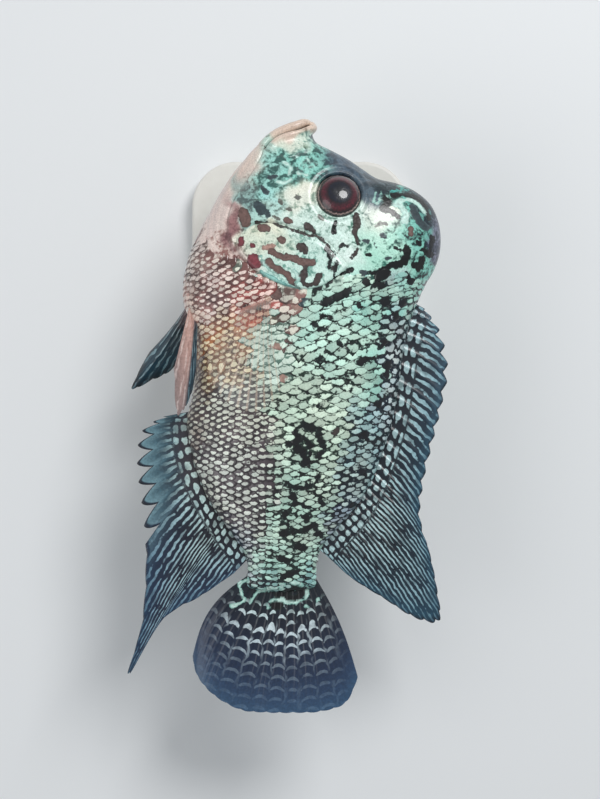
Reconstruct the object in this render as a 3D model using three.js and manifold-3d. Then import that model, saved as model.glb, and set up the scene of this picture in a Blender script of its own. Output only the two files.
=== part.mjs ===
// A flowerhorn cichlid, life size, in millimetres. It lies left flank up on a small display stand.
// X runs from the belly to the back, Y from the tail to the snout, and Z up through the flanks.
// Lateral places on the fish are pairs [along, across]: along is the distance behind the snout tip,
// and across is the height above the fish's own axis, plus towards the back, minus towards the belly.
import * as THREE from "three";
import Module from "manifold-3d";

const wasm = await Module();
wasm.setup();

// Driving dimensions
const SNOUT_Y = 72; // the snout tip ahead of the stand's centre
const MIDPLANE_Z = 52; // height of the fish's plane of symmetry
const GAP = 0.3; // clearance between neighbouring pieces
const COVER_RAISE = 0.8; // how far the gill cover stands proud of the cheek
const COVER_THICKNESS = 2.6;
const BODY_RINGS_PER_STATION = 2;
const BODY_SIDES = 28;
const FLATNESS = 0.04; // how far a surface may move when needless corners are dropped
const LEFT = 1;
const RIGHT = -1;

// Stations of the body from snout to tail root. back and belly are the ends of a slice through the body,
// half is its half width, widest the share of the slice from belly to back where it is widest,
// and backEdge and bellyEdge how sharp the two ends are: 1 is an ellipse, less is blunter.
const STATIONS = [
  { back: [0.0, 2.6], belly: [0.0, 2.6], half: 0.0, widest: 0.5, backEdge: 0.8, bellyEdge: 0.7 },
  { back: [0.5, 4.4], belly: [0.7, -1.6], half: 4.0, widest: 0.5, backEdge: 0.8, bellyEdge: 0.7 },
  { back: [2.2, 5.0], belly: [2.3, -6.0], half: 6.1, widest: 0.48, backEdge: 0.8, bellyEdge: 0.65 },
  { back: [4.8, 4.6], belly: [4.6, -10.2], half: 7.6, widest: 0.45, backEdge: 0.8, bellyEdge: 0.6 },
  { back: [7.4, 6.2], belly: [8.0, -14.4], half: 8.8, widest: 0.45, backEdge: 0.85, bellyEdge: 0.6 },
  { back: [9.6, 10.6], belly: [12.3, -18.6], half: 10.1, widest: 0.46, backEdge: 0.9, bellyEdge: 0.62 },
  { back: [12.8, 16.6], belly: [17.5, -22.8], half: 11.4, widest: 0.48, backEdge: 0.92, bellyEdge: 0.66 },
  { back: [16.2, 21.6], belly: [24.0, -27.0], half: 12.8, widest: 0.5, backEdge: 0.92, bellyEdge: 0.7 },
  { back: [19.2, 26.4], belly: [31.0, -31.0], half: 14.0, widest: 0.5, backEdge: 0.9, bellyEdge: 0.74 },
  { back: [20.9, 33.0], belly: [37.5, -34.4], half: 14.9, widest: 0.5, backEdge: 0.84, bellyEdge: 0.78 },
  { back: [23.6, 39.2], belly: [43.3, -36.8], half: 15.6, widest: 0.5, backEdge: 0.8, bellyEdge: 0.8 },
  { back: [28.5, 44.6], belly: [48.3, -38.4], half: 16.2, widest: 0.5, backEdge: 0.8, bellyEdge: 0.82 },
  { back: [35.5, 47.4], belly: [53.4, -39.4], half: 16.6, widest: 0.5, backEdge: 0.8, bellyEdge: 0.84 },
  { back: [43.3, 47.7], belly: [58.0, -39.7], half: 16.8, widest: 0.5, backEdge: 0.82, bellyEdge: 0.86 },
  { back: [50.5, 45.6], belly: [62.5, -39.2], half: 16.8, widest: 0.5, backEdge: 0.86, bellyEdge: 0.88 },
  { back: [56.8, 41.9], belly: [67.5, -37.4], half: 16.6, widest: 0.5, backEdge: 0.94, bellyEdge: 0.9 },
  { back: [64.5, 38.4], belly: [74.5, -35.6], half: 16.3, widest: 0.5, backEdge: 1.02, bellyEdge: 0.92 },
  { back: [75.0, 35.4], belly: [83.0, -35.2], half: 15.9, widest: 0.5, backEdge: 1.06, bellyEdge: 0.94 },
  { back: [87.2, 33.8], belly: [92.0, -36.4], half: 15.2, widest: 0.51, backEdge: 1.08, bellyEdge: 1.0 },
  { back: [99.0, 32.0], belly: [101.0, -38.4], half: 14.2, widest: 0.52, backEdge: 1.1, bellyEdge: 1.1 },
  { back: [110.0, 28.9], belly: [111.0, -37.2], half: 12.8, widest: 0.53, backEdge: 1.1, bellyEdge: 1.15 },
  { back: [120.5, 25.0], belly: [121.0, -34.2], half: 11.0, widest: 0.53, backEdge: 1.1, bellyEdge: 1.15 },
  { back: [130.0, 19.5], belly: [130.5, -29.6], half: 9.0, widest: 0.52, backEdge: 1.08, bellyEdge: 1.12 },
  { back: [138.0, 12.6], belly: [138.5, -24.0], half: 7.2, widest: 0.5, backEdge: 1.0, bellyEdge: 1.05 },
  { back: [144.0, 7.6], belly: [145.0, -19.4], half: 5.9, widest: 0.5, backEdge: 0.95, bellyEdge: 0.95 },
  { back: [149.5, 6.0], belly: [150.0, -18.0], half: 4.9, widest: 0.5, backEdge: 0.9, bellyEdge: 0.9 },
  { back: [154.5, 5.8], belly: [154.5, -18.2], half: 3.8, widest: 0.5, backEdge: 0.9, bellyEdge: 0.9 },
  { back: [158.0, 4.4], belly: [158.0, -17.0], half: 2.4, widest: 0.5, backEdge: 0.9, bellyEdge: 0.9 },
  { back: [159.6, -6.3], belly: [159.6, -6.3], half: 0.0, widest: 0.5, backEdge: 0.9, bellyEdge: 0.9 },
];

// The nuchal hump swells a little past the slices around its middle.
const HUMP_CENTRE = [39, 31];
const HUMP_RADII = [17, 16];
const HUMP_SWELL = 1.3;

// Interpolates a list at a fractional index with a uniform Catmull-Rom spline.
function splineAt(values, t) {
  const last = values.length - 1;
  const k = Math.min(Math.floor(t), last - 1);
  const f = t - k;
  const a = values[Math.max(k - 1, 0)];
  const b = values[k];
  const c = values[k + 1];
  const d = values[Math.min(k + 2, last)];
  return 0.5 * (2 * b + (c - a) * f + (2 * a - 5 * b + 4 * c - d) * f * f + (3 * b - a - 3 * c + d) * f ** 3);
}

const STATION_LISTS = {
  backAlong: STATIONS.map((s) => s.back[0]),
  backAcross: STATIONS.map((s) => s.back[1]),
  bellyAlong: STATIONS.map((s) => s.belly[0]),
  bellyAcross: STATIONS.map((s) => s.belly[1]),
  half: STATIONS.map((s) => s.half),
  widest: STATIONS.map((s) => s.widest),
  backEdge: STATIONS.map((s) => s.backEdge),
  bellyEdge: STATIONS.map((s) => s.bellyEdge),
};
const LAST_STATION = STATIONS.length - 1;

function sliceAt(t) {
  const slice = {};
  for (const [name, values] of Object.entries(STATION_LISTS)) slice[name] = splineAt(values, t);
  return slice;
}

// A point of the slice at share s from belly to back, on its own half of the body.
function pointOnSlice(slice, s, side) {
  const above = s > slice.widest;
  const c = above ? (s - slice.widest) / (1 - slice.widest) : (slice.widest - s) / slice.widest;
  const edge = above ? slice.backEdge : slice.bellyEdge;
  const height = slice.half * Math.max(0, 1 - c * c) ** (edge / 2);
  const along = slice.bellyAlong + (slice.backAlong - slice.bellyAlong) * s;
  const across = slice.bellyAcross + (slice.backAcross - slice.bellyAcross) * s;
  return new THREE.Vector3(across, SNOUT_Y - along, MIDPLANE_Z + side * height);
}

// The share of a slice from belly to back at angle 0 (back) to pi (belly).
function shareAtAngle(slice, angle) {
  const c = Math.cos(angle);
  return slice.widest + c * (c > 0 ? 1 - slice.widest : slice.widest);
}

// The station whose slice passes through a lateral place, found by halving.
function stationOf([along, across]) {
  let low = 0.02;
  let high = LAST_STATION - 0.02;
  for (let n = 0; n < 40; n++) {
    const mid = (low + high) / 2;
    const slice = sliceAt(mid);
    const share = (across - slice.bellyAcross) / (slice.backAcross - slice.bellyAcross);
    const sliceAlong = slice.bellyAlong + (slice.backAlong - slice.bellyAlong) * share;
    if (sliceAlong < along) low = mid;
    else high = mid;
  }
  return (low + high) / 2;
}

// The point on a flank at a lateral place.
function flankPoint(place, side) {
  const slice = sliceAt(stationOf(place));
  const share = (place[1] - slice.bellyAcross) / (slice.backAcross - slice.bellyAcross);
  return pointOnSlice(slice, THREE.MathUtils.clamp(share, 0, 1), side);
}

function flankNormal(place, side) {
  const step = 0.6;
  const ahead = flankPoint([place[0] - step, place[1]], side);
  const behind = flankPoint([place[0] + step, place[1]], side);
  const above = flankPoint([place[0], place[1] + step], side);
  const below = flankPoint([place[0], place[1] - step], side);
  return above.sub(below).cross(ahead.sub(behind)).normalize().multiplyScalar(side);
}

// Places on the back and belly edges at a distance behind the snout tip
function edgeAcross(alongList, acrossList, along) {
  let low = 0;
  let high = LAST_STATION;
  for (let n = 0; n < 40; n++) {
    const mid = (low + high) / 2;
    if (splineAt(alongList, mid) < along) low = mid;
    else high = mid;
  }
  return splineAt(acrossList, low);
}
const backAt = (along) => edgeAcross(STATION_LISTS.backAlong, STATION_LISTS.backAcross, along);
const bellyAt = (along) => edgeAcross(STATION_LISTS.bellyAlong, STATION_LISTS.bellyAcross, along);

function humpSwell(point) {
  const along = (SNOUT_Y - point.y - HUMP_CENTRE[0]) / HUMP_RADII[0];
  const across = (point.x - HUMP_CENTRE[1]) / HUMP_RADII[1];
  const inside = Math.max(0, 1 - along * along - across * across);
  return HUMP_SWELL * inside * inside * (3 - 2 * inside);
}

// Solids

function geometryOf(points, triangles) {
  const geometry = new THREE.BufferGeometry().setFromPoints(points);
  geometry.setIndex(triangles);
  return geometry;
}

function solidOf(geometry) {
  return new wasm.Manifold(
    new wasm.Mesh({
      numProp: 3,
      vertProperties: geometry.attributes.position.array,
      triVerts: new Uint32Array(geometry.index.array),
    }),
  );
}

// A closed surface over rings of equal count between two end points
function ringsGeometry(first, rings, last) {
  const sides = rings[0].length;
  const points = [first, ...rings.flat(), last];
  const triangles = [];
  const end = points.length - 1;
  const at = (ring, side) => 1 + ring * sides + (side % sides);
  for (let side = 0; side < sides; side++) {
    triangles.push(0, at(0, side + 1), at(0, side));
    triangles.push(end, at(rings.length - 1, side), at(rings.length - 1, side + 1));
    for (let ring = 0; ring < rings.length - 1; ring++) {
      triangles.push(at(ring, side), at(ring + 1, side + 1), at(ring + 1, side));
      triangles.push(at(ring, side), at(ring, side + 1), at(ring + 1, side + 1));
    }
  }
  return geometryOf(points, triangles);
}

// The whole body, grown by an offset along its surface normals
function bodySolid(offset) {
  const rings = [];
  const steps = LAST_STATION * BODY_RINGS_PER_STATION;
  for (let step = 1; step < steps; step++) {
    const slice = sliceAt(step / BODY_RINGS_PER_STATION);
    const ring = [];
    for (let side = 0; side < BODY_SIDES; side++) {
      const angle = (2 * Math.PI * side) / BODY_SIDES;
      const flank = side === 0 || side === BODY_SIDES / 2 ? 0 : Math.sign(Math.sin(angle));
      const share = shareAtAngle(slice, angle);
      ring.push(pointOnSlice(slice, share, flank));
    }
    rings.push(ring);
  }
  const snout = pointOnSlice(sliceAt(0), 0.5, LEFT);
  const tailRoot = pointOnSlice(sliceAt(LAST_STATION), 0.5, LEFT);
  const geometry = ringsGeometry(snout, rings, tailRoot);
  geometry.computeVertexNormals();
  const { position, normal } = geometry.attributes;
  for (let i = 0; i < position.count; i++) {
    const point = new THREE.Vector3().fromBufferAttribute(position, i);
    const out = new THREE.Vector3().fromBufferAttribute(normal, i);
    point.addScaledVector(out, offset + humpSwell(point));
    position.setXYZ(i, point.x, point.y, point.z);
  }
  return solidOf(geometry);
}

// A closed curve through lateral places, grown outwards, as a prism through the whole body
function prism(places, grow = 0, from = -40, to = 40) {
  const curve = new THREE.SplineCurve(places.map(([along, across]) => new THREE.Vector2(across, SNOUT_Y - along)));
  const outline = curve.getPoints(places.length * 3);
  if (THREE.ShapeUtils.isClockWise(outline)) outline.reverse();
  const closed = outline[0].distanceTo(outline.at(-1)) < 1e-6;
  if (closed) outline.pop();
  const count = outline.length;
  const grown = outline.map((point, i) => {
    const before = outline[(i + count - 1) % count];
    const after = outline[(i + 1) % count];
    const run = after.clone().sub(before).normalize();
    return new THREE.Vector2(point.x + run.y * grow, point.y - run.x * grow);
  });
  const extruded = new THREE.ExtrudeGeometry(new THREE.Shape(grown), { depth: to - from, bevelEnabled: false });
  return weldedSolid(extruded.translate(0, 0, MIDPLANE_Z + from));
}

// A solid from a three.js geometry whose corners are stored more than once
function weldedSolid(geometry) {
  const flat = geometry.index ? geometry.toNonIndexed() : geometry;
  const source = flat.attributes.position;
  const points = [];
  const known = new Map();
  const corners = [];
  for (let i = 0; i < source.count; i++) {
    const point = new THREE.Vector3().fromBufferAttribute(source, i);
    const key = [point.x, point.y, point.z].map((value) => Math.round(value * 1e4)).join();
    if (!known.has(key)) known.set(key, points.push(point) - 1);
    corners.push(known.get(key));
  }
  const triangles = [];
  for (let i = 0; i < corners.length; i += 3) {
    const [a, b, c] = corners.slice(i, i + 3);
    if (a !== b && b !== c && a !== c) triangles.push(a, b, c);
  }
  return solidOf(geometryOf(points, triangles));
}

// A round tube that tapers along a path
function taperedTube(path, radiusAt, sides) {
  const tangentAt = (i) => path[Math.min(i + 1, path.length - 1)].clone().sub(path[Math.max(i - 1, 0)]).normalize();
  let across = new THREE.Vector3(1, 0, 0);
  const rings = path.map((centre, i) => {
    const tangent = tangentAt(i);
    across = across.clone().addScaledVector(tangent, -across.dot(tangent)).normalize();
    const up = tangent.clone().cross(across);
    const radius = radiusAt(i / (path.length - 1));
    return Array.from({ length: sides }, (_, side) => {
      const angle = (2 * Math.PI * side) / sides;
      return centre
        .clone()
        .addScaledVector(across, Math.cos(angle) * radius)
        .addScaledVector(up, Math.sin(angle) * radius);
    });
  });
  return solidOf(ringsGeometry(path[0], rings, path.at(-1)));
}

// The largest closed surface of a solid
function largest(solid) {
  return solid.decompose().reduce((best, piece) => (piece.volume() > best.volume() ? piece : best));
}

const group = new THREE.Group();

function addNode(name, solid, colour, roughness, metalness = 0) {
  const mesh = largest(solid.simplify(FLATNESS)).getMesh();
  const positions = new Float32Array(mesh.numVert * 3);
  for (let i = 0; i < mesh.numVert; i++) {
    positions.set(mesh.vertProperties.subarray(i * mesh.numProp, i * mesh.numProp + 3), i * 3);
  }
  const geometry = new THREE.BufferGeometry();
  geometry.setAttribute("position", new THREE.BufferAttribute(positions, 3));
  geometry.setIndex(new THREE.BufferAttribute(mesh.triVerts, 1));
  geometry.computeVertexNormals();
  const node = new THREE.Mesh(geometry, new THREE.MeshStandardMaterial({ color: colour, roughness, metalness }));
  node.name = name;
  group.add(node);
}

const COLOURS = {
  skin: 0x9fcfc0,
  throat: 0xcbb0a2,
  fin: 0x1d3346,
  paleFin: 0xb9987c,
  eye: 0x4a1018,
  steel: 0xb8bcc0,
  plinth: 0xe9e7e2,
};

// Body, head, jaw and gill covers

const body = bodySolid(0);
const bodyGrown = bodySolid(GAP);

// The front of the fish, from the snout to the hind edge of the head
const HEAD_OUTLINE = [
  [-6, 10], [-6, -10], [4, -24], [16, -36], [34, -44], [40, -41], [44, -34], [49, -24], [54.5, -14],
  [58, -4], [57.5, 5], [53, 13], [50, 17.5], [52.5, 26], [53.8, 36], [54.5, 46], [54, 60], [30, 60], [8, 36], [-6, 10],
];
const HUMP_OUTLINE = [
  [19.4, 25.4], [25, 21.6], [33, 18.8], [41, 17.4], [47.5, 20], [51, 27], [52.6, 36], [53.4, 45], [52, 58],
  [30, 60], [14, 44], [17, 30], [19.4, 25.4],
];
const JAW_OUTLINE = [
  [-3, 5.2], [0.4, 4.6], [1.8, 3.0], [3.0, 0], [4.0, -3.4], [5.2, -6.8], [7.0, -9.6], [10.0, -12.2],
  [14.6, -14.2], [19.0, -17.4], [21.6, -20.4], [22.6, -25], [21, -36], [4, -32], [-5, -12], [-3, 5.2],
];
const COVER_OUTLINE = [
  [50.2, 15.6], [45.6, 11.8], [41.4, 7.4], [38.6, 0.4], [36.4, -6.8], [35.6, -12.4], [37.6, -18.2], [42.6, -21.0],
  [47.6, -18.4], [52.2, -13.2], [56.0, -6.4], [57.6, 0.2], [56.8, 6.4], [54.0, 11.8], [50.2, 15.6],
];

const coverBlank = bodySolid(COVER_RAISE).subtract(bodySolid(COVER_RAISE - COVER_THICKNESS));
const coverPocket = bodySolid(3).subtract(bodySolid(COVER_RAISE - COVER_THICKNESS - GAP));
const coverPockets = coverPocket.intersect(prism(COVER_OUTLINE, GAP));
const humpBlank = prism(HUMP_OUTLINE);
const humpPocket = prism(HUMP_OUTLINE, GAP);
const jawBlank = prism(JAW_OUTLINE);
const jawPocket = prism(JAW_OUTLINE, GAP);

// Lips: two tapered rolls that follow the line of the mouth from corner to corner
const MOUTH_LINE = [[1.2, 3.6], [3.0, 0], [4.0, -3.4], [5.2, -6.8], [7.0, -9.6], [10.0, -12.2]];
const LIP_RADIUS = 1.75;
const LIP_OFFSET = 1.55; // from the line of the mouth to the middle of the roll

function lip(rise) {
  const halfPath = (side) => MOUTH_LINE.map(([along, across], i) => {
    const before = MOUTH_LINE[Math.max(i - 1, 0)];
    const after = MOUTH_LINE[Math.min(i + 1, MOUTH_LINE.length - 1)];
    const run = [after[0] - before[0], after[1] - before[1]];
    const length = Math.hypot(...run);
    const point = flankPoint([along - (run[1] / length) * rise, across + (run[0] / length) * rise], side);
    point.z = i === 0 ? MIDPLANE_Z : point.z;
    return point;
  });
  const curve = new THREE.CatmullRomCurve3([...halfPath(LEFT).slice(1).reverse(), ...halfPath(RIGHT)]);
  const radiusAt = (share) => LIP_RADIUS * (0.45 + 0.55 * Math.sin(Math.PI * share) ** 0.6);
  return taperedTube(curve.getPoints(24), radiusAt, 8);
}

// Eyes: flattened balls whose rim of skin stands up from the head
const EYE_PLACE = [26.4, 12.8];
const EYE_RADIUS = 7.6;
const EYE_DEPTH = 5.0;
const EYE_SINK = 2.1; // the middle of the ball under the skin
const EYE_RIM_RADIUS = 7.7;
const EYE_RIM_THICKNESS = 1.1; // the fold of skin round the eye

function onFlank(place, side, sink) {
  const normal = flankNormal(place, side);
  const point = flankPoint(place, side).addScaledVector(normal, -sink);
  const turn = new THREE.Quaternion().setFromUnitVectors(new THREE.Vector3(0, 0, 1), normal);
  return new THREE.Matrix4().compose(point, turn, new THREE.Vector3(1, 1, 1));
}

function eyeball(side, grow) {
  const ball = new THREE.SphereGeometry(1, 18, 10);
  ball.scale(EYE_RADIUS + grow, EYE_RADIUS + grow, EYE_DEPTH + grow);
  return weldedSolid(ball.applyMatrix4(onFlank(EYE_PLACE, side, EYE_SINK)));
}

function eyeRim(side) {
  const rim = new THREE.TorusGeometry(EYE_RIM_RADIUS, EYE_RIM_THICKNESS, 8, 28);
  return weldedSolid(rim.applyMatrix4(onFlank(EYE_PLACE, side, 0.1)));
}

// Nostrils: one small pit with a raised rim on each side of the snout
const NOSTRIL_PLACE = [9.6, 1.8];
const NOSTRIL_RADIUS = 0.8;
const NOSTRIL_RIM_THICKNESS = 0.5;
const NOSTRIL_DEPTH = 4; // of the cutter, half of it under the skin

function nostrilRim(side) {
  const rim = new THREE.TorusGeometry(NOSTRIL_RADIUS + 0.4, NOSTRIL_RIM_THICKNESS, 6, 12);
  return weldedSolid(rim.applyMatrix4(onFlank(NOSTRIL_PLACE, side, 0)));
}

function nostrilPit(side) {
  const pit = new THREE.CylinderGeometry(NOSTRIL_RADIUS, NOSTRIL_RADIUS * 0.6, NOSTRIL_DEPTH, 10);
  return weldedSolid(pit.rotateX(Math.PI / 2).applyMatrix4(onFlank(NOSTRIL_PLACE, side, 0)));
}

let head = body.intersect(prism(HEAD_OUTLINE));
head = head.add(lip(LIP_OFFSET));
for (const side of [LEFT, RIGHT]) {
  head = head.add(eyeRim(side)).subtract(eyeball(side, GAP));
  head = head.add(nostrilRim(side)).subtract(nostrilPit(side));
}
head = head.subtract(humpPocket).subtract(jawPocket).subtract(coverPockets);
addNode("head", head, COLOURS.skin, 0.35);

const jaw = body.intersect(jawBlank).add(lip(-LIP_OFFSET).intersect(jawBlank));
addNode("lower_jaw", jaw.intersect(prism(HEAD_OUTLINE)), COLOURS.throat, 0.4);
addNode("nuchal_hump", body.intersect(humpBlank), COLOURS.skin, 0.35);

for (const [side, name] of [[LEFT, "left"], [RIGHT, "right"]]) {
  const half = prism(COVER_OUTLINE, 0, side === LEFT ? 0 : -40, side === LEFT ? 40 : 0);
  addNode(`gill_cover_${name}`, coverBlank.intersect(half), COLOURS.skin, 0.35);
  addNode(`eye_${name}`, eyeball(side, 0), COLOURS.eye, 0.1);
}

// Torso and tail stem meet at a curved joint just behind the dorsal and anal fins
const STEM_OUTLINE = [
  [144.5, 12], [145.2, 6], [146.4, -6], [146.2, -18], [145.4, -26], [152, -34], [166, -34], [172, -6], [166, 20],
  [152, 22], [144.5, 12],
];
const torso = body.subtract(prism(HEAD_OUTLINE, GAP)).subtract(coverPockets).subtract(humpPocket);
addNode("torso", torso.subtract(prism(STEM_OUTLINE, GAP)), COLOURS.skin, 0.35);
const stem = body.intersect(prism(STEM_OUTLINE));

// Fins

// A fin is a sheet between guide rays, given as [root, tip, bow]: the lateral places of each end,
// and how far the ray bows sideways between them. Every ray is a ridge on both faces, spines first.
const FIN_ROWS = 7;

function finSheet({ guides, rays, rows = FIN_ROWS, rootHalf, tipHalf, membraneHalf, notch, lift }) {
  const lists = [0, 1].flatMap((end) => [0, 1].map((axis) => guides.map((guide) => guide[end][axis])));
  const bows = guides.map((guide) => guide[2] ?? 0);
  const columns = 2 * rays + 1;
  const sheetPoint = (column, row) => {
    const t = (column / (columns - 1)) * (guides.length - 1);
    const [rootAlong, rootAcross, tipAlong, tipAcross] = lists.map((list) => splineAt(list, t));
    const onRay = column % 2 === 1;
    const edge = column === 0 || column === columns - 1;
    const reach = onRay || edge ? 1 : 1 - notch(column / (columns - 1));
    const r = (row / (rows - 1)) * reach;
    const run = [tipAlong - rootAlong, tipAcross - rootAcross];
    const length = Math.hypot(...run);
    const bow = splineAt(bows, t) * Math.sin(Math.PI * r);
    const along = rootAlong + run[0] * r - (run[1] / length) * bow;
    const across = rootAcross + run[1] * r + (run[0] / length) * bow;
    const rayHalf = THREE.MathUtils.lerp(rootHalf, tipHalf, r);
    const half = row === 0 || row === rows - 1 || edge ? 0 : onRay ? rayHalf : Math.min(membraneHalf, rayHalf);
    return { along, across, half, share: t / (guides.length - 1), r };
  };
  const faces = [1, -1].map((face) => {
    const points = [];
    for (let row = 0; row < rows; row++) {
      for (let column = 0; column < columns; column++) {
        const { along, across, half, share, r } = sheetPoint(column, row);
        points.push(new THREE.Vector3(across, SNOUT_Y - along, lift(share, r, along, across) + face * half));
      }
    }
    return points;
  });
  const points = [...faces[0]];
  const backIndex = faces[1].map((point, i) => (point.distanceTo(faces[0][i]) < 1e-9 ? i : points.push(point) - 1));
  const triangles = [];
  for (let row = 0; row < rows - 1; row++) {
    for (let column = 0; column < columns - 1; column++) {
      const a = row * columns + column;
      const corners = [a, a + 1, a + columns + 1, a + columns];
      const cell = column % 2 ? [[0, 1, 3], [1, 2, 3]] : [[0, 1, 2], [0, 2, 3]];
      for (const [i, j, k] of cell) {
        triangles.push(corners[i], corners[j], corners[k]);
        triangles.push(backIndex[corners[k]], backIndex[corners[j]], backIndex[corners[i]]);
      }
    }
  }
  const used = dropSlivers(points, triangles);
  const solid = solidOf(used);
  if (solid.volume() > 0) return solid;
  for (let i = 0; i < triangles.length; i += 3) [triangles[i], triangles[i + 1]] = [triangles[i + 1], triangles[i]];
  return solidOf(dropSlivers(points, triangles));
}

// Leaves out pairs of triangles that lie on one another where both faces of a sheet share an edge
function dropSlivers(points, triangles) {
  const counts = new Map();
  for (let i = 0; i < triangles.length; i += 3) {
    const key = [...triangles.slice(i, i + 3)].sort((a, b) => a - b).join();
    counts.set(key, (counts.get(key) ?? 0) + 1);
  }
  const kept = [];
  for (let i = 0; i < triangles.length; i += 3) {
    const corner = triangles.slice(i, i + 3);
    if (counts.get([...corner].sort((a, b) => a - b).join()) === 1) kept.push(...corner);
  }
  return geometryOf(points, kept);
}

const FIN_SINK = 3.5; // roots of the median fins inside the body before they are trimmed to it

const backRoot = (along) => [along, backAt(along) - FIN_SINK];
const bellyRoot = (along) => [along, bellyAt(along) + FIN_SINK];

const DORSAL_GUIDES = [
  [backRoot(60), [63.5, 42.6]],
  [backRoot(65), [71.5, 47.8], 0.6],
  [backRoot(74), [84, 50.2], 1.2],
  [backRoot(85), [97, 47.8], 1.2],
  [backRoot(96), [109, 44.8], 1.2],
  [backRoot(106), [122, 41.8], 1.2],
  [backRoot(114), [134, 40.8], 1.4],
  [backRoot(120), [147, 44.2], 1.8],
  [backRoot(125), [159, 46.6], 2.0],
  [backRoot(129), [169, 47.2], 1.6],
  [backRoot(133), [168, 39], 1.0],
  [backRoot(137), [161.5, 28.5], 0.4],
  [backRoot(140.5), [154.5, 17.5]],
  [backRoot(143), [147.5, 9.8]],
];
const ANAL_GUIDES = [
  [bellyRoot(97.5), [99.8, -46.5]],
  [bellyRoot(102), [105, -53.6], -0.8],
  [bellyRoot(109), [116.5, -55.2], -1.2],
  [bellyRoot(116), [130, -53.6], -1.2],
  [bellyRoot(122), [147, -52.2], -1.4],
  [bellyRoot(128), [169, -53.4], -1.8],
  [bellyRoot(132), [187.5, -58.2], -1.6],
  [bellyRoot(136), [168.5, -46.4], -0.8],
  [bellyRoot(141), [160.2, -33.2]],
  [bellyRoot(145.5), [152.8, -22.4]],
];
const CAUDAL_GUIDES = [
  [[153, 4.6], [188, 19.6], 1.6],
  [[154.5, 3.0], [196.4, 15.4], 0.6],
  [[155.5, 0.2], [199.4, 7.0]],
  [[156, -3.2], [200, -2.4]],
  [[156, -6.4], [200, -11.4]],
  [[156, -9.6], [199.2, -20.2]],
  [[155.5, -12.8], [194.5, -29.0], -1.0],
  [[154.5, -15.4], [188, -34.8], -2.4],
  [[153, -17.0], [181.5, -36.6], -4.2],
];

const SPINE_SHARE_DORSAL = 0.52; // share of the dorsal fin's rays that are hard spines
const SPINE_SHARE_ANAL = 0.42;

const medianFin = { rootHalf: 0.75, tipHalf: 0.28, membraneHalf: 0.28 };
const dorsal = finSheet({
  ...medianFin,
  guides: DORSAL_GUIDES,
  rays: 27,
  notch: (share) => (share < SPINE_SHARE_DORSAL ? 0.14 : 0.03),
  lift: (share, r, along) => MIDPLANE_Z + 1.1 * r * Math.sin(along / 15),
});
addNode("dorsal_fin", dorsal.subtract(bodyGrown), COLOURS.fin, 0.45);

const anal = finSheet({
  ...medianFin,
  guides: ANAL_GUIDES,
  rays: 16,
  notch: (share) => (share < SPINE_SHARE_ANAL ? 0.1 : 0.03),
  lift: (share, r, along) => MIDPLANE_Z + 1.1 * r * Math.sin(along / 13 + 1),
});
addNode("anal_fin", anal.subtract(bodyGrown), COLOURS.fin, 0.45);

// The lower lobe of the tail fin turns a little away from the upper flank
const TAIL_CURL = 5;
const caudal = finSheet({
  ...medianFin,
  guides: CAUDAL_GUIDES,
  rays: 16,
  notch: () => 0.02,
  lift: (share, r) => MIDPLANE_Z - TAIL_CURL * r * r * Math.max(0, share - 0.5) * 2 + 0.8 * r * Math.sin(share * 9),
});
addNode("caudal_fin", caudal.subtract(bodyGrown), COLOURS.fin, 0.45);
addNode("tail_stem", stem, COLOURS.skin, 0.35);

// Paired fins: the root sits in the flank or belly, and the sheet leans away from the body

const PECTORAL_GUIDES = [
  [[58.5, -9.6], [90, -5.8], -1.0],
  [[59.2, -11.2], [97, -11.2], -0.6],
  [[60.2, -13.4], [97.5, -18.2]],
  [[61.4, -15.6], [93, -25.2], 0.5],
  [[62.6, -17.6], [85.5, -29.6], 0.8],
  [[63.4, -19.0], [77.5, -29.8], 0.8],
];
const PECTORAL_SPREAD = 12; // distance of the tips from the flank plane of the root

function pectoral(side) {
  return finSheet({
    guides: PECTORAL_GUIDES,
    rays: 12,
    rows: 6,
    rootHalf: 0.6,
    tipHalf: 0.26,
    membraneHalf: 0.26,
    notch: () => 0.03,
    lift: (share, r, along, across) => {
      const root = flankPoint([60.5, -14], LEFT).z - MIDPLANE_Z;
      return MIDPLANE_Z + side * (root - 1.2 + (PECTORAL_SPREAD + 1.2) * r ** 0.9 + 0.8 * Math.sin(across / 6) * r);
    },
  });
}

// The left pelvic fin trails along the belly, and the right one is spread
const PELVIC_LEFT_GUIDES = [
  [[58.2, -36.0], [84, -42.0]],
  [[59.2, -35.6], [98.5, -41.2], 0.6],
  [[60.4, -35.0], [97, -38.4], 0.4],
  [[61.6, -34.6], [91, -35.8]],
  [[62.6, -34.2], [84, -34.6]],
];
const PELVIC_RIGHT_GUIDES = [
  [[58.2, -36.0], [78, -52.6], 0.8],
  [[59.2, -35.8], [90.2, -58.4], 1.2],
  [[60.4, -35.4], [87.4, -51.4], 0.8],
  [[61.6, -35.0], [84.6, -45.6], 0.4],
  [[62.6, -34.6], [80, -40.6]],
];
const PELVIC_ROOT_Z = 4.2;

function pelvic(guides, side, spread) {
  return finSheet({
    guides,
    rays: 6,
    rows: 7,
    rootHalf: 0.8,
    tipHalf: 0.28,
    membraneHalf: 0.28,
    notch: () => 0.04,
    lift: (share, r) => MIDPLANE_Z + side * (PELVIC_ROOT_Z + spread * r + share * (1 - r) * 0.6),
  });
}

for (const [side, name] of [[LEFT, "left"], [RIGHT, "right"]]) {
  addNode(`pectoral_fin_${name}`, pectoral(side).subtract(bodyGrown), COLOURS.paleFin, 0.4);
}
addNode("pelvic_fin_left", pelvic(PELVIC_LEFT_GUIDES, LEFT, 5).subtract(bodyGrown), COLOURS.fin, 0.45);
addNode("pelvic_fin_right", pelvic(PELVIC_RIGHT_GUIDES, RIGHT, 12).subtract(bodyGrown), COLOURS.fin, 0.45);

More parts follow.
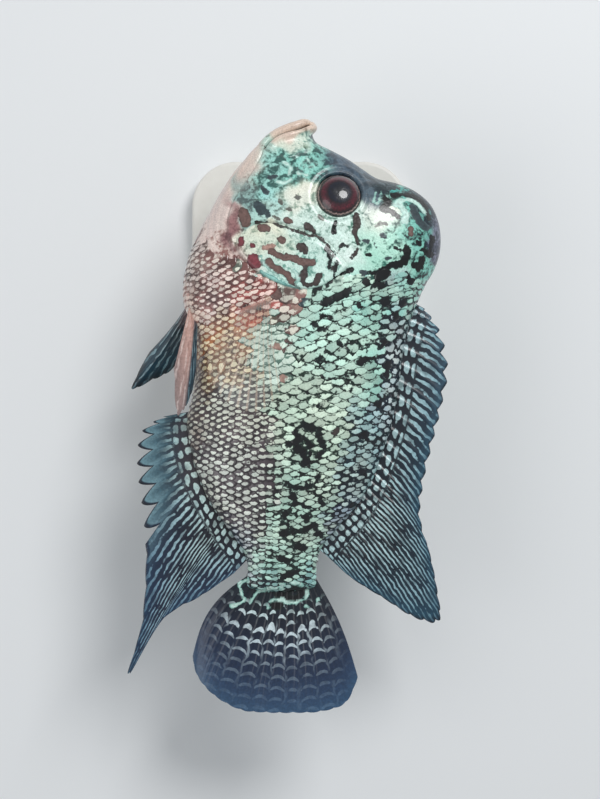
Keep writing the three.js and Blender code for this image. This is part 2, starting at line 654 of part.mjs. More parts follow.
// Stand: a flat rounded plate with two short rods up to the lower flank
const PLATE_LENGTH = 128;
const PLATE_WIDTH = 78;
const PLATE_THICKNESS = 8;
const PLATE_CORNER = 16;
const PLATE_BEVEL = 1.2;
const ROD_RADIUS = 2.5;
const ROD_PLACES = { front: [66, 3], rear: [108, -2] };

function plateShape() {
  const x = PLATE_WIDTH / 2 - PLATE_CORNER;
  const y = PLATE_LENGTH / 2 - PLATE_CORNER;
  const radius = PLATE_CORNER - PLATE_BEVEL;
  const shape = new THREE.Shape();
  shape.absarc(x, y, radius, 0, Math.PI / 2);
  shape.absarc(-x, y, radius, Math.PI / 2, Math.PI);
  shape.absarc(-x, -y, radius, Math.PI, 1.5 * Math.PI);
  shape.absarc(x, -y, radius, 1.5 * Math.PI, 2 * Math.PI);
  return shape;
}
const plate = new THREE.ExtrudeGeometry(plateShape(), {
  depth: PLATE_THICKNESS - 2 * PLATE_BEVEL,
  bevelThickness: PLATE_BEVEL,
  bevelSize: PLATE_BEVEL,
  bevelSegments: 3,
  curveSegments: 10,
});
addNode("stand_base", weldedSolid(plate.translate(0, 0, PLATE_BEVEL)), COLOURS.plinth, 0.5);

const bodyLowered = body.translate(0, 0, -GAP);
for (const [name, [along, across]] of Object.entries(ROD_PLACES)) {
  const foot = PLATE_THICKNESS + GAP;
  const length = MIDPLANE_Z - foot;
  const rod = new THREE.CylinderGeometry(ROD_RADIUS, ROD_RADIUS, length, 20).rotateX(Math.PI / 2);
  rod.translate(across, SNOUT_Y - along, foot + length / 2);
  const pieces = weldedSolid(rod).subtract(bodyLowered).decompose();
  const lower = pieces.reduce((a, b) => (a.boundingBox().min[2] < b.boundingBox().min[2] ? a : b));
  addNode(`stand_rod_${name}`, lower, COLOURS.steel, 0.3, 1);
}

export default group;
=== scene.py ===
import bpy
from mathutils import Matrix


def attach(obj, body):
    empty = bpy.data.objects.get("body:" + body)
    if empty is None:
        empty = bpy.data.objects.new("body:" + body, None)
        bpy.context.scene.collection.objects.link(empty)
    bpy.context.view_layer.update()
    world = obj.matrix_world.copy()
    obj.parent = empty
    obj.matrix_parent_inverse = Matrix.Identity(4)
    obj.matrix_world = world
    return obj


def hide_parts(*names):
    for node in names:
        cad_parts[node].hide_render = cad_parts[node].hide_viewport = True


bl_info = {
    "name": "Flowerhorn cichlid model",
    "version": (1, 0, 0),
    "blender": (4, 5, 0),
    "location": "View3D > Sidebar > Fish",
    "description": "Builds the finished surface of a life-size flowerhorn cichlid on its display stand",
    "category": "Object",
}

import functools
import math

import bpy
import numpy as np
from mathutils import Vector

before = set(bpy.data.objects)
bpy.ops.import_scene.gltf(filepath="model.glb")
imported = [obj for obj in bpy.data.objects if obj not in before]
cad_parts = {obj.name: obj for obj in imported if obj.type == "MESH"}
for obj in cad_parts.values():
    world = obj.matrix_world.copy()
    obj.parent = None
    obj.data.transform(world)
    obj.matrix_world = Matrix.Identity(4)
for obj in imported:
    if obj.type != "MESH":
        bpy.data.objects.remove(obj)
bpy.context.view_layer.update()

# All sizes are in millimetres until a mesh is made. X runs from the belly to the back, Y from the tail
# to the snout and Z up through the flanks. A lateral place is (along, across): the distance behind the
# snout tip, and the height above the fish's own axis, plus towards the back.
MM = 0.001
SNOUT_Y = 72.0
MIDPLANE_Z = 52.0
LEFT, RIGHT = 1, -1
SIDES = (LEFT, "left"), (RIGHT, "right")
COAT_DEPTH = 0.35  # the skin lies this far inside the solids, and the scales fill it

# Slices through the body, from snout to tail root: the ends of the slice at the back and the belly, its
# half width, the share from belly to back where it is widest, and how sharp its two ends are
STATIONS = np.array([
    (0.0, 2.6, 0.0, 2.6, 0.0, 0.50, 0.80, 0.70),
    (0.5, 4.4, 0.7, -1.6, 4.0, 0.50, 0.80, 0.70),
    (2.2, 5.0, 2.3, -6.0, 6.1, 0.48, 0.80, 0.65),
    (4.8, 4.6, 4.6, -10.2, 7.6, 0.45, 0.80, 0.60),
    (7.4, 6.2, 8.0, -14.4, 8.8, 0.45, 0.85, 0.60),
    (9.6, 10.6, 12.3, -18.6, 10.1, 0.46, 0.90, 0.62),
    (12.8, 16.6, 17.5, -22.8, 11.4, 0.48, 0.92, 0.66),
    (16.2, 21.6, 24.0, -27.0, 12.8, 0.50, 0.92, 0.70),
    (19.2, 26.4, 31.0, -31.0, 14.0, 0.50, 0.90, 0.74),
    (20.9, 33.0, 37.5, -34.4, 14.9, 0.50, 0.84, 0.78),
    (23.6, 39.2, 43.3, -36.8, 15.6, 0.50, 0.80, 0.80),
    (28.5, 44.6, 48.3, -38.4, 16.2, 0.50, 0.80, 0.82),
    (35.5, 47.4, 53.4, -39.4, 16.6, 0.50, 0.80, 0.84),
    (43.3, 47.7, 58.0, -39.7, 16.8, 0.50, 0.82, 0.86),
    (50.5, 45.6, 62.5, -39.2, 16.8, 0.50, 0.86, 0.88),
    (56.8, 41.9, 67.5, -37.4, 16.6, 0.50, 0.94, 0.90),
    (64.5, 38.4, 74.5, -35.6, 16.3, 0.50, 1.02, 0.92),
    (75.0, 35.4, 83.0, -35.2, 15.9, 0.50, 1.06, 0.94),
    (87.2, 33.8, 92.0, -36.4, 15.2, 0.51, 1.08, 1.00),
    (99.0, 32.0, 101.0, -38.4, 14.2, 0.52, 1.10, 1.10),
    (110.0, 28.9, 111.0, -37.2, 12.8, 0.53, 1.10, 1.15),
    (120.5, 25.0, 121.0, -34.2, 11.0, 0.53, 1.10, 1.15),
    (130.0, 19.5, 130.5, -29.6, 9.0, 0.52, 1.08, 1.12),
    (138.0, 12.6, 138.5, -24.0, 7.2, 0.50, 1.00, 1.05),
    (144.0, 7.6, 145.0, -19.4, 5.9, 0.50, 0.95, 0.95),
    (149.5, 6.0, 150.0, -18.0, 4.9, 0.50, 0.90, 0.90),
    (154.5, 5.8, 154.5, -18.2, 3.8, 0.50, 0.90, 0.90),
    (158.0, 4.4, 158.0, -17.0, 2.4, 0.50, 0.90, 0.90),
    (159.6, -6.3, 159.6, -6.3, 0.0, 0.50, 0.90, 0.90),
])
LAST_STATION = len(STATIONS) - 1
HUMP_CENTRE, HUMP_RADII, HUMP_SWELL = (39.0, 31.0), (17.0, 16.0), 1.3

# Lateral places on the head
EYE_PLACE, EYE_RADIUS, EYE_DEPTH, EYE_SINK = (26.4, 12.8), 7.6, 5.0, 2.1
NOSTRIL_PLACE = (9.6, 1.8)
MOUTH_LINE = [(1.2, 3.6), (3.0, 0), (4.0, -3.4), (5.2, -6.8), (7.0, -9.6), (10.0, -12.2)]
LIP_FOLD = [(10.0, -6.8), (12.4, -5.9), (13.5, -3.8), (12.6, -1.4)]
COVER_OUTLINE = [
    (50.2, 15.6), (45.6, 11.8), (41.4, 7.4), (38.6, 0.4), (36.4, -6.8), (35.6, -12.4), (37.6, -18.2),
    (42.6, -21.0), (47.6, -18.4), (52.2, -13.2), (56.0, -6.4), (57.6, 0.2), (56.8, 6.4), (54.0, 11.8),
    (50.2, 15.6),
]
COVER_RAISE = 0.8
THROAT_FOLD = [
    (10.0, -12.2), (14.6, -14.0), (19.6, -17.2), (24.7, -20.6), (30.5, -23.4), (36.5, -24.4), (42.0, -23.8),
    (47.6, -20.6), (52.6, -14.6),
]
# The hind edge of the unscaled head, from the throat over the gill cover to the nape
HEAD_EDGE = [
    (30, -44), (40, -36), (46.5, -29), (50.6, -20), (54.5, -13.2), (57.6, -5.2), (59.0, 1.0), (58.5, 7.4),
    (55.6, 12.6), (53.6, 17.0), (53.0, 23.0), (52.6, 29.0), (53.6, 35.0), (54.6, 42.0), (57.0, 52.0),
]

MIRROR = (1, 1, -1)
HAIR = 0.001  # how far a lookup stays inside its table
PIXEL, PHOTO_SNOUT, PHOTO_ROWS = 0.338, (300.0, 121.9), 799  # mm, and photograph pixels


def photo(x, y):
    """The lateral place of a point of the photograph."""
    return ((y - PHOTO_SNOUT[1]) * PIXEL, (x - PHOTO_SNOUT[0]) * PIXEL)


def lateral(points):
    return np.stack([SNOUT_Y - points[..., 1], points[..., 0]], -1)


def between(table, a, b):
    """Values of a table at fractional rows a and columns b, kept inside it."""
    a, b = (np.clip(x, 0, size - 1 - HAIR) for x, size in zip((a, b), table.shape))
    i, j = a.astype(int), b.astype(int)
    a, b = (a - i)[..., None], (b - j)[..., None]
    near = table[i, j] * (1 - b) + table[i, j + 1] * b
    return near * (1 - a) + (table[i + 1, j] * (1 - b) + table[i + 1, j + 1] * b) * a


def linear(hex_colour):
    """An sRGB hex colour as linear RGB."""
    parts = [int(hex_colour[i:i + 2], 16) / 255 for i in (1, 3, 5)]
    return tuple(c / 12.92 if c <= 0.04045 else ((c + 0.055) / 1.055) ** 2.4 for c in parts)


# Curves and the body's surface

def spline(values, t):
    """Rows of values at fractional indices t, on a uniform Catmull-Rom spline."""
    values = np.asarray(values, float)
    last = len(values) - 1
    k = np.clip(np.floor(t).astype(int), 0, last - 1)
    f = np.asarray(t, float) - k
    if values.ndim > 1:
        f = f[..., None]
    a, b, c, d = (values[np.clip(k + shift, 0, last)] for shift in (-1, 0, 1, 2))
    return 0.5 * (2 * b + (c - a) * f + (2 * a - 5 * b + 4 * c - d) * f ** 2 + (3 * b - a - 3 * c + d) * f ** 3)


def smooth_path(points, per_span=8):
    t = np.linspace(0, len(points) - 1, (len(points) - 1) * per_span + 1)
    return spline(points, t)


def smoothstep(low, high, x):
    t = np.clip((x - low) / (high - low), 0, 1)
    return t * t * (3 - 2 * t)


def path_distance(places, path):
    """Distance from each place to a path, the share along the path, and the side it lies on."""
    best = np.full(len(places), 1e9)
    share = np.zeros(len(places))
    side = np.ones(len(places))
    spans = len(path) - 1
    for i in range(spans):
        start, run = path[i], path[i + 1] - path[i]
        offset = places - start
        along = np.clip(offset @ run / max(run @ run, 1e-9), 0, 1)
        gap = offset - along[:, None] * run
        distance = np.hypot(gap[:, 0], gap[:, 1])
        near = distance < best
        best[near] = distance[near]
        share[near] = (i + along[near]) / spans
        side[near] = np.sign(run[0] * offset[near, 1] - run[1] * offset[near, 0])
    return best, share, side


def inside(places, outline):
    """True for each place inside a closed outline."""
    hits = np.zeros(len(places), bool)
    for (a, b), (c, d) in zip(outline, np.roll(outline, -1, axis=0)):
        if b == d:
            continue
        crosses = (b > places[:, 1]) != (d > places[:, 1])
        hits ^= crosses & (places[:, 0] < (c - a) * (places[:, 1] - b) / (d - b) + a)
    return hits


def slice_points(t, angles):
    """Points of the left flank on slices t at angles from the back (0) to the belly (pi)."""
    back_a, back_c, belly_a, belly_c, half, widest, back_edge, belly_edge = (
        column[:, None] for column in spline(STATIONS, t).T
    )
    c = np.cos(angles)[None, :]
    above = c > 0
    share = widest + c * np.where(above, 1 - widest, widest)
    height = half * np.maximum(0, 1 - c * c) ** (np.where(above, back_edge, belly_edge) / 2)
    along = belly_a + (back_a - belly_a) * share
    across = belly_c + (back_c - belly_c) * share
    return np.stack([across, SNOUT_Y - along, height], -1)


RINGS_PER_STATION = [10] * 6 + [18] * 11 + [6] * 11
FLANK_STEPS = 150
FINE_STEPS = 720  # steps of the first, uneven slices
CAP_GAP = 0.02  # how far the chart stays inside the first and last slice


def make_chart():
    """The left flank as a grid of points, evenly spaced from belly to back, with unit normals."""
    t = np.concatenate([i + np.arange(count) / count for i, count in enumerate(RINGS_PER_STATION)]
                       + [[LAST_STATION]])
    t[0], t[-1] = CAP_GAP, LAST_STATION - CAP_GAP
    fine = slice_points(t, np.linspace(math.pi, 0, FINE_STEPS + 1))
    steps = np.linalg.norm(np.diff(fine, axis=1), axis=2)
    travelled = np.concatenate([np.zeros((len(t), 1)), np.cumsum(steps, axis=1)], axis=1)
    even = np.linspace(0, 1, FLANK_STEPS + 1)
    points = np.stack([np.stack([np.interp(even * row[-1], row, path) for path in ring.T], -1)
                       for row, ring in zip(travelled, fine)])
    before, after = points[:, 2:0:-1] * MIRROR, points[:, -2:-4:-1] * MIRROR
    closed = np.concatenate([before, points, after], axis=1)
    normals = np.cross(np.gradient(closed, axis=1), np.gradient(closed, axis=0))[:, 2:-2]
    normals /= np.linalg.norm(normals, axis=2, keepdims=True)
    if normals[len(t) // 2, FLANK_STEPS // 2, 2] < 0:
        normals = -normals
    normals[:, [0, -1], 2] = 0
    normals /= np.linalg.norm(normals, axis=2, keepdims=True)
    near = np.maximum(0, 1 - (((lateral(points) - HUMP_CENTRE) / HUMP_RADII) ** 2).sum(-1))
    points = points + normals * (HUMP_SWELL * near ** 2 * (3 - 2 * near) - COAT_DEPTH)[..., None]
    return t, points, normals, travelled[:, -1]


CHART_T, CHART, CHART_NORMALS, HALF_GIRTH = make_chart()
CHART_ROWS = np.arange(len(CHART_T))


def on_chart(ring, step, side, lift=0.0):
    """Points at fractional rings and steps of the chart, lifted off the skin, on one flank."""
    step = FLANK_STEPS - np.abs(FLANK_STEPS - np.abs(step))
    point = between(CHART, ring, step) + between(CHART_NORMALS, ring, step) * np.asarray(lift)[..., None]
    return point * (1, 1, side) + (0, 0, MIDPLANE_Z)


def chart_place(place):
    """The ring and step of the chart nearest to a lateral place."""
    gap = np.linalg.norm(lateral(CHART) - place, axis=2)
    return np.array(np.unravel_index(np.argmin(gap), gap.shape), float)


def flank_frame(place, side):
    """Point and outward normal on a flank at a lateral place."""
    ring, step = chart_place(place)
    normal = CHART_NORMALS[int(ring), int(step)] * (1, 1, side)
    point = on_chart(np.array([ring]), np.array([step]), side, np.array([COAT_DEPTH]))[0]
    return point, normal / np.linalg.norm(normal)


# Relief of the head, as heights over the smooth body

HEAD_RIDGES = {  # height, place across the line or from the centre, and half width, in mm
    "lip": (1.15, 1.55, 1.1), "mouth": (-2.0, 0, 0.42),
    "lip fold": (0.55, 0, 0.7), "lip fold groove": (-0.35, -1.0, 0.45),
    "nostril rim": (0.5, 1.25, 0.45), "eyelid": (0.75, EYE_RADIUS + 0.35, 0.75),
    "eye ring": (0.35, EYE_RADIUS + 2.6, 0.9),
    "cover groove": (-0.75, -0.5, 0.4), "cover ridge": (0.25, 2.4, 0.7),
    "throat ridge": (0.35, 0.9, 0.8), "throat fold": (-0.7, 0, 0.4), "throat crease": (-0.22, 0, 0.35),
}
THROAT_CREASES = 2.6, 4.8, 6.8  # mm outside the throat fold
NOSTRIL_DEPTH, NOSTRIL_RADIUS, SOCKET_DEPTH = 1.6, 0.65, 2.6


def ridge(name, distance):
    height, middle, half_width = HEAD_RIDGES[name]
    return height * np.exp(-((distance - middle) / half_width) ** 2)


def head_relief(places):
    """Heights of the lips, nostrils, lids, gill covers and throat folds over the smooth body."""
    distance, share, _ = path_distance(places, smooth_path(MOUTH_LINE))
    roll = 0.45 + 0.55 * np.sin(np.pi * np.clip(share * 0.5 + 0.5, 0, 1))
    relief = (ridge("lip", distance) * roll + ridge("mouth", distance)) * (1 - smoothstep(0.93, 1.0, share))
    distance, share, side = path_distance(places, smooth_path(LIP_FOLD))
    ends = np.sin(np.pi * np.clip(share, 0.02, 0.98)) ** 0.5
    relief += ends * (ridge("lip fold", distance) + ridge("lip fold groove", distance * side))
    radius = np.hypot(*(places - NOSTRIL_PLACE).T)
    relief += ridge("nostril rim", radius) - NOSTRIL_DEPTH * np.exp(-(radius / NOSTRIL_RADIUS) ** 4)
    radius = np.hypot(*(places - EYE_PLACE).T)
    relief += ridge("eyelid", radius) + ridge("eye ring", radius)
    relief -= SOCKET_DEPTH * smoothstep(EYE_RADIUS + 0.05, EYE_RADIUS - 0.75, radius)
    outline = smooth_path(COVER_OUTLINE)
    distance, share, _ = path_distance(places, outline)
    depth = np.where(inside(places, outline[:-1]), distance, -distance)
    relief += COVER_RAISE * smoothstep(-0.2, 0.6, depth) + ridge("cover groove", depth)
    relief += ridge("cover ridge", depth) * smoothstep(0.35, 0.1, np.abs(share - 0.22))
    distance, share, side = path_distance(places, smooth_path(THROAT_FOLD))
    ends = smoothstep(0, 0.06, share) * smoothstep(1, 0.94, share)
    relief += ends * (ridge("throat ridge", distance * side) + ridge("throat fold", distance))
    for offset in THROAT_CREASES:
        relief += ends * ridge("throat crease", distance * side + offset)
    return relief


# Colours of the skin: soft areas, each with a ground colour, a pearl colour over it, and the share of
# the surface that the pearl takes. Places and radii are in photograph pixels.
AREAS = {
    "cheek cream": ((300, 196), (11, 8), "#a9b39d", "#f0f0de", 0.68),
    "cheek cyan": ((268, 203), (6, 8), "#3f8580", "#a5e2dc", 0.6),
    # A painted shadow: a grey patch of darker ground below the eye
    "cheek painted shade": ((306, 222), (8, 4), "#6f8f84", "#d5efe4", 0.5),
    "cover cream": ((270, 240), (12, 6), "#98a68f", "#eeeed6", 0.64),
    "cover mint": ((312, 280), (10, 10), "#5f978a", "#d6f6ea", 0.56),
    "temple white": ((344, 262), (12, 7), "#7ba291", "#e6fbf2", 0.6),
    "hump green": ((374, 262), (14, 10), "#347c6b", "#b4eed9", 0.54),
    "behind cover": ((294, 306), (9, 8), "#84605a", "#dfd3c6", 0.55),
    "snout": ((308, 130), (10, 6), "#a08676", "#dcc3b2", 0.62),
    "lower lip": ((284, 134), (16, 7), "#a08678", "#dbc2b2", 0.8),
    "chin": ((263, 144), (9, 8), "#b39a8c", "#dcc5b6", 0.8),
    "throat middle": ((230, 180), (8, 12), "#bb9c92", "#dec8bd", 0.78),
    "throat": ((247, 163), (13, 22), "#bf9f94", "#e0c8bc", 0.8),
    "throat rear": ((222, 200), (10, 26), "#b79a92", "#dcc9c2", 0.75),
    "branchial": ((231, 232), (4, 26), "#6e4a4d", "#94686a", 0.5),
    "upper lip": ((292, 146), (9, 7), "#6e8a80", "#d5ddcc", 0.6),
    "face": ((303, 166), (22, 18), "#28534e", "#8bd2c4", 0.48),
    "face lower": ((270, 178), (14, 26), "#345c58", "#9ad3c9", 0.47),
    "cheek corner": ((248, 190), (8, 22), "#4f6163", "#8bb0ac", 0.46),
    "cheek": ((294, 208), (15, 14), "#8aa292", "#e6ecdd", 0.57),
    "lower cheek": ((262, 216), (16, 11), "#5f6f6b", "#b4dcd3", 0.55),
    "under eye": ((300, 226), (22, 8), "#7fa597", "#d9f1e6", 0.6),
    "chin edge": ((286, 124), (30, 3), "#8a756a", "#bda698", 0.6),
    "nostril": ((301, 147), (12, 7), "#7fa59a", "#e0e6d6", 0.56),
    "forehead": ((346, 166), (26, 16), "#33414e", "#47596a", 0.5),
    "behind eye": ((366, 196), (10, 26), "#37444f", "#4d5f6c", 0.5),
    "temple": ((340, 238), (20, 18), "#557f72", "#d9f5ea", 0.58),
    "gill cover front": ((272, 250), (22, 12), "#7b9686", "#dfead6", 0.57),
    "gill cover": ((300, 268), (28, 20), "#689c8f", "#cdeee2", 0.57),
    "gill cover rear": ((284, 286), (18, 4), "#4d8a86", "#a5d8d0", 0.72),
    "hump front": ((376, 226), (16, 14), "#55756a", "#e4efdf", 0.62),
    "hump": ((384, 252), (26, 18), "#1c4a44", "#b9edd9", 0.6),
    "hump rear": ((412, 232), (16, 34), "#0c2226", "#7fcabb", 0.52),
    "hump edge": ((424, 205), (14, 24), "#0f2230", "#2f4a58", 0.35),
    "hump rim": ((438, 246), (5, 40), "#2a3346", "#6d6f86", 0.45),
    "hump top": ((392, 186), (20, 7), "#17282f", "#4b5a63", 0.4),
    "nape": ((385, 300), (30, 12), "#0f2a2a", "#9adccd", 0.7),
    "chest": ((218, 288), (22, 34), "#8d605b", "#ecd6cd", 0.52),
    "chest edge": ((196, 262), (10, 30), "#857069", "#dccac4", 0.5),
    "pelvic base": ((190, 308), (10, 16), "#b98c80", "#ecd2c4", 0.7),
    "pectoral root": ((248, 299), (18, 8), "#a8554f", "#f0cdc4", 0.5),
    "red patch": ((248, 318), (20, 5), "#a8452e", "#e0a286", 0.45),
    "golden": ((222, 340), (20, 20), "#a4663c", "#f0d8ad", 0.5),
    "golden low": ((222, 372), (20, 14), "#86603f", "#e2d2aa", 0.5),
    "mint patch": ((272, 350), (14, 20), "#5f7f72", "#d6efe2", 0.72),
    "flank": ((338, 350), (32, 46), "#122922", "#c9f6e5", 0.8),
    "flank middle": ((318, 410), (30, 44), "#263c2f", "#d6f2dc", 0.76),
    "flank teal": ((368, 350), (18, 40), "#0c2724", "#a3dccb", 0.71),
    "belly": ((226, 412), (30, 26), "#55484a", "#d6dacb", 0.44),
    "belly edge": ((197, 392), (6, 50), "#54433f", "#a8968a", 0.42),
    "rear belly": ((228, 480), (32, 42), "#4c4247", "#d9e0d6", 0.44),
    "rear middle": ((302, 500), (22, 50), "#0f1f1a", "#c0e6d4", 0.66),
    "rear back": ((366, 452), (18, 40), "#0e2531", "#93bfc4", 0.55),
    "back": ((392, 400), (13, 90), "#081626", "#b6cbd2", 0.45),
    "rear anal base": ((225, 545), (18, 26), "#15203a", "#c7d2de", 0.4),
    "rear dorsal base": ((352, 540), (20, 30), "#0a1730", "#9db4c8", 0.4),
    "peduncle": ((285, 555), (26, 22), "#142a24", "#b6e2d3", 0.62),
    "tail root": ((282, 592), (34, 14), "#0c1c26", "#8fc4c2", 0.5),
}
# Edge and core colours of the drawn marks
TINTS = {
    "black": ("#0c1f1c", "#020608"),
    "ink": ("#0b1620", "#03060d"),
    "brown": ("#4b3a37", "#6f5650"),
    "umber": ("#2a2826", "#443936"),
    "maroon": ("#5a2a32", "#7e3a42"),
    "grey": ("#7c8076", "#5c5e58"),
    "slate": ("#47595c", "#37454a"),
    "pale": ("#86b8ad", "#c6e6dc"),
    # The teal tint paints a glint: its only stroke is a painted highlight along the top edge of the hump
    "teal": ("#4fb3a9", "#3f8f8c"),
    "rim": ("#4f968f", "#9bd6cc"),
    "rose": ("#9a8479", "#b08c80"),
}
# Marks drawn with a brush, by region and tint: half the brush's width and then its points, in photograph pixels
MARKS = {
    "flank spot": {"black": [
        (3.6, (294, 427), (306, 425), (318, 427)), (3.4, (296, 430), (297, 446), (304, 453)),
        (3.4, (319, 434), (322, 446), (318, 458)), (2.6, (304, 436), (311, 446), (306, 460)),
        (1.4, (284, 436), (289, 444)),
    ]},
    "midline": {"black": [
        (2.8, (288, 481), (300, 487), (312, 483), (318, 474)), (2.8, (291, 490), (296, 502)),
        (2.4, (318, 496), (324, 503)), (3.0, (286, 513), (288, 524)), (3.0, (304, 515), (312, 523), (304, 531)),
        (3.2, (284, 533), (298, 530)), (2.8, (316, 528), (322, 537)), (1.8, (302, 503), (310, 508)),
        (2.2, (296, 545), (306, 548)), (2.2, (278, 556), (288, 560)), (2.2, (306, 562), (312, 567)),
        (2.2, (282, 575), (292, 572), (300, 568)),
    ]},
    "flank": {"black": [
        (1.8, (319, 338), (316, 349), (319, 358), (334, 365)), (1.5, (322, 352), (334, 356)),
        (1.5, (304, 361), (316, 364)), (1.4, (311, 326), (324, 331)), (2.8, (319, 318), (331, 317)),
        (1.4, (308, 372), (314, 374)), (1.8, (324, 376), (329, 380)), (1.4, (346, 376), (354, 374), (344, 384)),
        (1.6, (301, 392), (309, 394)), (1.2, (314, 396), (322, 400), (318, 408)), (1.4, (343, 326), (352, 322)),
        (1.4, (352, 345), (364, 340)), (1.3, (336, 340), (343, 344)), (1.6, (360, 362), (370, 356)),
    ], "umber": [
        (1.1, (330, 420), (336, 430), (330, 440)),
    ]},
    "gill cover edge": {"black": [
        (2.0, (312, 297), (322, 293), (331, 286), (340, 279), (350, 274)),
        (1.4, (332, 280), (335, 271), (335, 263), (333, 257), (324, 253)),
        (1.2, (328, 257), (329, 264), (328, 271)),
    ]},
    "nape": {"black": [
        (2.4, (320, 307), (333, 302), (341, 297), (351, 290)), (3.4, (340, 299), (344, 295)),
        (3.0, (365, 286), (375, 288), (386, 288)), (1.6, (323, 303), (334, 304)), (1.6, (323, 316), (333, 318)),
        (1.2, (352, 305), (358, 307)), (1.2, (366, 318), (374, 316)),
    ], "slate": [
        (2.4, (359, 277), (362, 278)),
    ], "ink": [
        (2.0, (376, 305), (386, 303)), (2.2, (390, 312), (397, 318)), (2.4, (398, 300), (404, 306)),
    ]},
    "temple": {"black": [
        (3.0, (334, 229), (332, 238)), (1.6, (337, 255), (341, 250), (346, 251)),
    ], "umber": [
        (3.0, (354, 221), (356, 229), (353, 237)),
        (1.4, (353, 237), (355, 245), (357, 252), (353, 258), (350, 263)),
    ]},
    "hump": {"black": [
        (3.4, (403, 251), (405, 261), (398, 267), (388, 270), (378, 275), (370, 279)),
        (4.0, (386, 277), (375, 281)), (2.0, (393, 253), (397, 254)), (1.7, (365, 259), (368, 260)),
        (3.3, (382, 201), (386, 206), (384, 212), (380, 214), (389, 216), (395, 221)),
        (2.4, (390, 199), (402, 197), (412, 199), (420, 205), (426, 213), (428, 222)),
        (3.0, (415, 246), (417, 247)), (3.2, (421, 252), (425, 254)), (3.2, (421, 262), (417, 271), (412, 268)),
    ], "slate": [
        (1.2, (384, 264), (388, 262)), (4.4, (411, 211), (413, 217), (417, 224), (423, 229)),
        (1.6, (362, 246), (365, 248)), (1.4, (372, 250), (374, 253)), (1.5, (380, 240), (384, 244)),
    ], "ink": [
        (3.2, (431, 239), (430, 248), (430, 257)),
    ], "brown": [
        (3.4, (407, 233), (408, 238)),
    ], "grey": [
        (2.2, (374, 232), (378, 230), (383, 230)),
    ], "pale": [
        (2.8, (393, 210), (398, 206), (408, 203), (417, 206), (423, 214)),
        (4.0, (399, 210), (403, 217), (402, 226)), (1.2, (374, 197), (371, 207)), (1.3, (380, 197), (375, 209)),
    ], "teal": [
        # Painted highlight: a thin glint along the hump's top edge
        (1.0, (390, 195), (398, 193), (408, 193)),
    ]},
    "cheek": {"brown": [
        (5.2, (244, 217), (246, 226)), (2.6, (285, 226), (291, 228)),
    ], "slate": [
        (4.6, (257, 209), (262, 217)), (2.8, (267, 218), (268, 221)), (2.2, (262, 192), (266, 196)),
        (1.8, (270, 182), (276, 180)),
    ], "umber": [
        (2.8, (307, 232), (313, 237)),
    ], "grey": [
        (2.0, (279, 207), (281, 209)), (1.3, (296, 203), (298, 204)), (1.6, (288, 215), (290, 216)),
        (1.6, (274, 222), (279, 225)), (1.4, (318, 222), (322, 226)),
    ], "maroon": [
        (3.4, (242, 246), (243, 249)),
    ]},
    "gill cover": {"maroon": [
        (6.0, (253, 264), (256, 269)), (1.8, (252, 250), (254, 252)),
    ], "brown": [
        (3.8, (262, 234), (268, 234)), (3.3, (281, 244), (284, 246)),
        (3.2, (272, 256), (280, 261), (291, 262), (302, 267), (313, 267)),
        (3.5, (269, 266), (276, 272), (286, 277), (291, 284)),
    ], "umber": [
        (4.0, (300, 250), (305, 253)), (3.0, (306, 269), (303, 278), (304, 288), (314, 287), (319, 280)),
        (1.6, (294, 288), (300, 291)),
        # The two thin umber lines along the front edge of the gill cover are painted shade of its groove
        (0.9, (256, 227), (268, 228), (280, 231), (293, 236), (307, 240), (318, 243), (327, 251)),
        (0.7, (327, 251), (332, 258), (333, 266), (331, 275)),
    ], "rose": [
        (2.0, (265, 253), (274, 251)),
    ], "rim": [
        (2.2, (262, 276), (270, 281), (280, 286), (290, 291), (302, 295), (314, 295)),
    ], "pale": [
        (1.2, (262, 262), (266, 270), (274, 277), (284, 283)), (1.4, (294, 274), (298, 282), (296, 290)),
    ]},
    "chest": {"rose": [
        (2.6, (293, 305), (296, 309)), (2.2, (274, 347), (279, 348)), (1.5, (285, 375), (284, 382)),
    ], "brown": [
        (2.8, (277, 297), (280, 303)), (1.6, (285, 330), (290, 337), (287, 352)),
    ], "slate": [
        (2.0, (302, 303), (304, 304)),
    ], "umber": [
        (1.3, (247, 309), (256, 308), (264, 311)),
    ]},
    "face": {"pale": [
        (1.6, (284, 166), (290, 172), (288, 180)), (1.8, (276, 186), (284, 188), (290, 184)),
        (1.4, (306, 160), (310, 168)), (1.5, (298, 178), (306, 180)),
    ], "slate": [
        (2.6, (312, 139), (315, 144)),
    ]},
    "back": {"ink": [
        (2.2, (380, 335), (384, 345)), (2.2, (388, 362), (386, 374)), (2.0, (378, 404), (384, 396)),
        (2.4, (362, 432), (370, 440)), (2.2, (358, 466), (366, 474)), (2.0, (350, 500), (356, 508)),
        (2.2, (404, 276), (408, 284)),
    ]},
    "tail root": {"pale": [
        (1.5, (268, 608), (267, 604), (273, 601), (283, 600), (288, 603), (297, 602), (305, 600),
          (307, 593), (304, 585), (295, 581), (286, 583), (277, 587), (268, 590), (259, 592), (254, 597),
          (251, 603)),
        (1.4, (249, 579), (240, 584), (241, 593), (244, 600), (239, 604), (232, 607)),
        (1.3, (318, 600), (312, 607), (306, 606)),
    ], "black": [
        (3.4, (277, 595), (286, 593), (294, 587), (302, 591), (297, 598), (288, 598)),
        (3.8, (274, 605), (279, 606)),
    ]},
}

FIELD_STEP = 0.2  # mm between the places at which the colours are worked out
FIELD_ALONG, FIELD_ACROSS = np.arange(-4, 176, FIELD_STEP), np.arange(-48, 54, FIELD_STEP)
MARK_REACH = 3.0  # mm round a mark within which its distance is kept
AREA_FALL = 1.7  # how fast an area's colour fades past its radii
FAR_WEIGHT = 1e-5  # keeps the nearest areas' colours where none reaches


